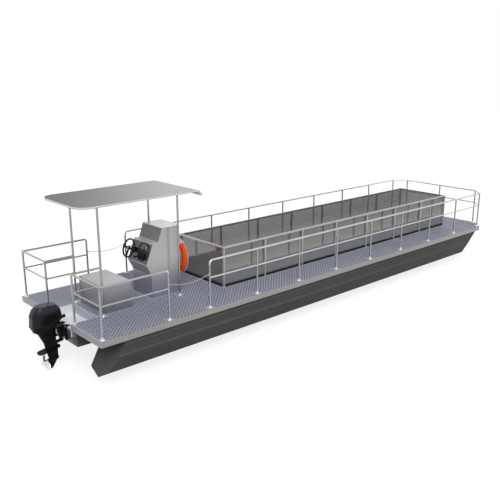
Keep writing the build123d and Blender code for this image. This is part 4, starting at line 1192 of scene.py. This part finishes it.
@dataclass
class LifeRing:
    """White bands round the life ring and the grab line under them."""

    centre: Vector = field(default_factory=Vector)
    middle: float = 0.325
    half_width: float = 0.075
    half_depth: float = 0.06
    bands: tuple[float, ...] = (60.0, 120.0, 240.0, 300.0)
    band_arc: float = math.radians(20)
    band_proud: float = 0.0014
    band_sunk: float = 0.001
    band_steps: int = 6
    section_steps: int = 32
    line_radius: float = 0.007
    line_slack: float = 0.008
    line_sides: int = 8
    line_step: float = math.radians(4)
    line_least: int = 4
    bracket_arc: float = math.radians(14)
    foot: float = math.radians(270)

    def ring_point(self, turn: float, around: float, proud: float) -> Vector:
        """Point on the ring's skin, or proud of it.

        Args:
            turn: Angle round the ring, from port, upwards.
            around: Angle round its section, from outwards, towards the bow.
            proud: Distance off the skin.

        Returns:
            The point.
        """
        radius = self.middle + (self.half_width + proud) * math.cos(around)
        depth = (self.half_depth + proud) * math.sin(around)
        return self.centre + Vector((depth, radius * math.cos(turn), radius * math.sin(turn)))

    def section(self, turn: float, proud: float) -> list[Vector]:
        """Points round the ring's section at a turn, proud of its skin."""
        steps = self.section_steps
        return [self.ring_point(turn, math.tau * step / steps, proud) for step in range(steps)]

    def wrap_band(self, bands: MeshPile, place: float) -> None:
        """Wrap one band round the ring, with both ends turned in."""
        shares = [step / self.band_steps - 0.5 for step in range(self.band_steps + 1)]
        turns = [place + self.band_arc * share for share in shares]
        rings = [self.section(turn, self.band_proud) for turn in turns]
        bands.rings(rings, capped=False)
        bands.rings([self.section(turns[0], -self.band_sunk), rings[0]], capped=False)
        bands.rings([rings[-1], self.section(turns[-1], -self.band_sunk)], capped=False)

    def lay_line(self, line: MeshPile, start: float, end: float) -> None:
        """Lay the grab line from one turn to another, slack in the middle."""
        steps = max(self.line_least, int((end - start) / self.line_step))
        points = []
        for step in range(steps + 1):
            slack = self.line_slack * math.sin(math.pi * step / steps)
            turn = start + (end - start) * step / steps
            points.append(self.ring_point(turn, 0.0, self.line_radius + slack))
        line.tube(points, self.line_radius, self.line_sides)

    def build(self) -> None:
        """Wrap the bands and lay the grab line, which stops at the bracket."""
        low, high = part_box("life_ring")
        self.centre = (low + high) / 2
        bands, line = MeshPile(), MeshPile()
        places = [math.radians(band) for band in self.bands]
        for place in places:
            self.wrap_band(bands, place)
        self.lay_line(line, places[0], places[1])
        self.lay_line(line, places[1], places[2])
        self.lay_line(line, places[3], places[0] + math.tau)
        self.lay_line(line, places[2], self.foot - self.bracket_arc)
        self.lay_line(line, self.foot + self.bracket_arc, places[3])
        bands.piece("ring_bands", BAND_WHITE, "hull", "ring_orange")
        line.piece("ring_grab_line", ROPE_YARN, "hull", "rope")


@dataclass
class HelmStation:
    """What is on the dash and the wheel: a gauge and the wheel's hub cap."""

    gauge_to_starboard: float = 0.17
    gauge_drop: float = 0.085
    bezel_profile: Profile = (
        (0.052, 0.0), (0.052, 0.0072), (0.0496, 0.012), (0.046, 0.0108), (0.04508, 0.0054),
    )
    dial_profile: Profile = ((0.04508, 0.0048), (0.04508, 0.006))
    gauge_segments: int = 40
    ticks: int = 11
    tick_first: float = 225.0
    tick_sweep: float = 270.0
    tick_place: Point = (0.0368, 0.0, 0.0066)
    tick_shape: Outline = ((-0.004, -0.0008), (0.004, -0.0008), (0.004, 0.0008), (-0.004, 0.0008))
    needle_turn: float = 200.0
    needle_place: Point = (0.0, 0.0, 0.007)
    needle_shape: Outline = ((-0.006, -0.002), (0.03312, -0.0006), (0.03312, 0.0006), (-0.006, 0.002))
    cap_profile: Profile = ((0.03, 0.0), (0.03, 0.003), (0.024, 0.006), (0.006, 0.0072))
    cap_segments: int = 32

    def build(self) -> None:
        """Fit the gauge to the dash and the cap to the wheel."""
        helm, axis = joint("helm_turn")
        outward = -axis
        upward = Vector((outward.z, 0, -outward.x))
        self.fit_gauge(outward, upward)
        cap = MeshPile()
        hub = helm + outward * (reach("helm_wheel", outward) - helm.dot(outward))
        cap.turned(self.cap_profile, axes_frame(hub, outward, upward), self.cap_segments)
        cap.piece("wheel_hub_cap", SCREEN_GLOSS, "helm", "helm_black")

    def fit_gauge(self, outward: Vector, upward: Vector) -> None:
        """Fit the gauge to the dash.

        Args:
            outward: The dash's direction, towards the helm.
            upward: Direction up the dash.
        """
        height = reach("dash_panel", upward) - self.gauge_drop
        point = outward * reach("dash_panel", outward) + upward * height
        place = axes_frame(point - Vector((0, self.gauge_to_starboard, 0)), outward, upward)
        bezel, dial, marks = MeshPile(), MeshPile(), MeshPile()
        bezel.turned(self.bezel_profile, place, self.gauge_segments)
        dial.turned(self.dial_profile, place, self.gauge_segments)
        for step in range(self.ticks):
            angle = math.radians(self.tick_first - self.tick_sweep * step / (self.ticks - 1))
            stand = place @ Matrix.Rotation(angle, 4, "Z") @ Matrix.Translation(self.tick_place)
            marks.flat(stand, self.tick_shape)
        angle = math.radians(self.needle_turn)
        stand = place @ Matrix.Rotation(angle, 4, "Z") @ Matrix.Translation(self.needle_place)
        marks.flat(stand, self.needle_shape)
        bezel.piece("gauge_bezel", HELM_BLACK, "hull", "helm_black")
        dial.piece("gauge_dial", SCREEN_GLOSS, "hull", "console_dark")
        marks.piece("gauge_marks", BAND_WHITE, "hull", "helm_black")


@dataclass
class Canopy:
    """Bright trim round the roof's edge and the plates on top of its posts."""

    trim_proud: float = 0.0025
    trim_margin: float = 0.004
    trim_sunk: float = 0.001
    trim_bevel: float = 0.003
    plate_profile: Profile = ((0.05, 0.0), (0.05, 0.0048), (0.048, 0.006), (0.02, 0.006))
    plate_height: float = 0.006
    plate_segments: int = 28
    plate_bolts: int = 4
    bolt_circle: float = 0.036
    corner: float = 0.25
    corner_steps: int = 14
    bend: float = 0.105

    def fold_trim(self) -> None:
        """Fold the trim along the roof's sides and aft edge."""
        low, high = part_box("canopy_roof")
        front = high.x - self.bend
        line = [(Vector((front, low.y, 0)), Vector((0, -1, 0)))]
        for side, first in ((-1, -90), (1, 180)):
            centre = Vector((low.x + self.corner, side * (high.y - self.corner), 0))
            line.extend((centre + out * self.corner, out) for out in quarter(first, -1, self.corner_steps))
        line.append((Vector((front, high.y, 0)), Vector((0, 1, 0))))
        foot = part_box("canopy_posts")[1].z + self.trim_margin
        top = high.z - self.trim_margin
        steps = (
            (-self.trim_sunk, foot), (self.trim_proud, foot + self.trim_bevel),
            (self.trim_proud, top - self.trim_bevel), (-self.trim_sunk, top),
        )
        trim = MeshPile()
        trim.rings([[spot + out * off + Vector((0, 0, z)) for off, z in steps] for spot, out in line])
        trim.piece("canopy_edge_trim", CANOPY_TRIM, "hull", "canopy_shell")

    def build(self) -> None:
        """Fold the trim and bolt the plates up."""
        self.fold_trim()
        plates, bolts = MeshPile(), Bolts()
        down = Vector(DOWN)
        for start, end in solid_boxes("canopy_posts"):
            centre = (start + end) / 2
            under = axes_frame(Vector((centre.x, centre.y, end.z)), down, Vector((1, 0, 0)))
            plates.turned(self.plate_profile, under, self.plate_segments)
            between = under @ Matrix.Rotation(math.pi / self.plate_bolts, 4, "Z")
            for place in circle(between, self.bolt_circle, self.plate_bolts, self.plate_height):
                bolts.add(place, down)
        plates.piece("canopy_post_plates", RAIL_METAL, "hull", "rail_metal")
        bolts.pile.piece("canopy_plate_bolts", BOLT_METAL, "hull", "rail_metal")


@dataclass
class Outboard:
    """Seal between the cowl and its pan, and the propeller's nut."""

    rake: float = math.radians(10)
    foot_length: float = 0.587
    foot_width: float = 0.320
    foot_corner: float = 0.110
    foot_rise: float = 0.203
    foot_aft: float = 0.278
    corner_steps: int = 8
    seal_radius: float = 0.006
    seal_sides: int = 8
    washer_profile: Profile = ((0.02, 0.0), (0.02, 0.006), (0.018, 0.007))
    washer_segments: int = 24
    nut_profile: Profile = ((0.014, 0.007), (0.014, 0.02), (0.011, 0.022))

    def upright(self) -> Matrix:
        """Frame of the engine at its tilt axis: x along the propeller's shaft, z up the steering axis."""
        place, _ = joint("outboard_tilt")
        return Matrix.Translation(place) @ Matrix.Rotation(-self.rake, 4, "Y")

    def build(self) -> None:
        """Fit the engine's small pieces."""
        foot = self.upright() @ Matrix.Translation((-self.foot_aft, 0, self.foot_rise))
        straight_x = self.foot_length / 2 - self.foot_corner
        straight_y = self.foot_width / 2 - self.foot_corner
        line = []
        for across, along, first in ((1, 1, 0), (1, -1, 90), (-1, -1, 180), (-1, 1, 270)):
            centre = Vector((along * straight_x, across * straight_y, 0))
            for out in quarter(first, 1, self.corner_steps):
                line.append(foot @ (centre + out * self.foot_corner))
        seal = MeshPile()
        seal.tube(line, self.seal_radius, self.seal_sides, closed=True)
        seal.piece("cowl_seal", BASE_RUBBER, "motor", "motor_black")

        place, axis = joint("propeller_spin")
        aft = -axis
        hub = axes_frame(place + aft * (reach("propeller", aft) - place.dot(aft)), aft, Vector(UP))
        nut = MeshPile()
        nut.turned(self.washer_profile, hub, self.washer_segments)
        nut.turned(self.nut_profile, hub, HEXAGON)
        nut.piece("propeller_nut", BOLT_METAL, "screw", "prop_metal")


@dataclass
class Studio:
    """Floor, backdrop light, lamps and the camera."""

    floor_gap: float = 0.004
    floor_size: float = 120.0
    floor_grey: float = 0.3
    floor_glow: float = 0.82
    camera_place: Point = (-11.155, -10.697, 5.036)
    camera_turn: Point = (1.2943, 0.0, -0.735)
    lens: float = 47.96
    sensor: float = 36.0
    key_from: Point = (-0.35, -0.56, 0.75)
    key_strength: float = 1.5
    key_angle: float = math.radians(40)
    sky: float = 0.52
    view_depth: float = 500.0

    @staticmethod
    def seen(wiring: Wiring) -> bpy.types.NodeSocket:
        """1 for what the camera sees, itself, mirrored or through a sheet, and otherwise 0."""
        rays = wiring.add("ShaderNodeLightPath")
        seen = wiring.sum("MAXIMUM", rays.outputs["Is Camera Ray"], rays.outputs["Is Glossy Ray"])
        return wiring.sum("MAXIMUM", seen, rays.outputs["Is Transmission Ray"])

    def floor(self) -> None:
        """Lay a pale floor under the lowest point, white to the camera, with the boat's soft shadow."""
        height = CAD_BOX[0].z - self.floor_gap
        half = self.floor_size / 2
        mesh = bpy.data.meshes.new("studio_floor")
        corners = [(-half, -half, height), (half, -half, height), (half, half, height), (-half, half, height)]
        mesh.from_pydata(corners, [], [(0, 1, 2, 3)])
        floor = bpy.data.objects.new("studio_floor", mesh)
        bpy.context.scene.collection.objects.link(floor)
        material = bpy.data.materials.new("white_floor")
        material.use_nodes = True
        material.node_tree.nodes.clear()
        wiring = Wiring(material.node_tree)
        output = wiring.add("ShaderNodeOutputMaterial")
        matt = wiring.add("ShaderNodeBsdfDiffuse")
        matt.inputs["Color"].default_value = (self.floor_grey, self.floor_grey, self.floor_grey, 1)
        glow = wiring.add("ShaderNodeEmission")
        glow.inputs["Color"].default_value = (1, 1, 1, 1)
        wiring.join(wiring.sum("MULTIPLY", self.seen(wiring), self.floor_glow), glow.inputs["Strength"])
        both = wiring.add("ShaderNodeAddShader")
        wiring.join(matt.outputs["BSDF"], both.inputs[0])
        wiring.join(glow.outputs["Emission"], both.inputs[1])
        wiring.join(both.outputs["Shader"], output.inputs["Surface"])
        mesh.materials.append(material)

    def world(self) -> None:
        """Even studio light, white where the camera or a reflection sees it."""
        world = bpy.data.worlds.new("studio")
        bpy.context.scene.world = world
        world.use_nodes = True
        world.node_tree.nodes.clear()
        wiring = Wiring(world.node_tree)
        output = wiring.add("ShaderNodeOutputWorld")
        background = wiring.add("ShaderNodeBackground")
        background.inputs["Color"].default_value = (1, 1, 1, 1)
        strength = wiring.sum("ADD", wiring.sum("MULTIPLY", self.seen(wiring), 1 - self.sky), self.sky)
        wiring.join(strength, background.inputs["Strength"])
        wiring.join(background.outputs["Background"], output.inputs["Surface"])

    def lamps(self) -> None:
        """Hang one broad key lamp over the starboard quarter."""
        light = bpy.data.lights.new("key_lamp", "SUN")
        light.energy = self.key_strength
        light.angle = self.key_angle
        lamp = bpy.data.objects.new("key_lamp", light)
        lamp.rotation_euler = Vector(self.key_from).to_track_quat("Z", "Y").to_euler()
        bpy.context.scene.collection.objects.link(lamp)

    def camera(self) -> None:
        """Set the camera where the photograph was taken from."""
        lens = bpy.data.cameras.new("view")
        lens.sensor_fit = "HORIZONTAL"
        lens.sensor_width = self.sensor
        lens.lens = self.lens
        lens.clip_end = self.view_depth
        camera = bpy.data.objects.new("view", lens)
        camera.location = self.camera_place
        camera.rotation_euler = self.camera_turn
        bpy.context.scene.collection.objects.link(camera)
        bpy.context.scene.camera = camera

    def build(self) -> None:
        """Set up the whole studio."""
        self.floor()
        self.world()
        self.lamps()
        self.camera()
        bpy.context.scene.view_settings.view_transform = "Standard"


def dress_nodes() -> None:
    """Give every CAD node the finish of its record slot."""
    for row in frame["record"]["subparts"]:
        node = frame["nodes"][row["node"]]
        node.data.materials.clear()
        finish = NODE_FINISHES.get(row["node"], SLOT_FINISHES[row["material_slot"]])
        node.data.materials.append(finish.material())


def main() -> None:
    """Build and dress the boat, sub-assembly by sub-assembly."""
    logging.basicConfig(level=logging.INFO, format="%(message)s")
    Studio().build()
    dress_nodes()
    GateRopes().build()
    Deck().build()
    Rails().build()
    LifeRing().build()
    HelmStation().build()
    Canopy().build()
    Outboard().build()


if __name__ == "__main__":
    main()
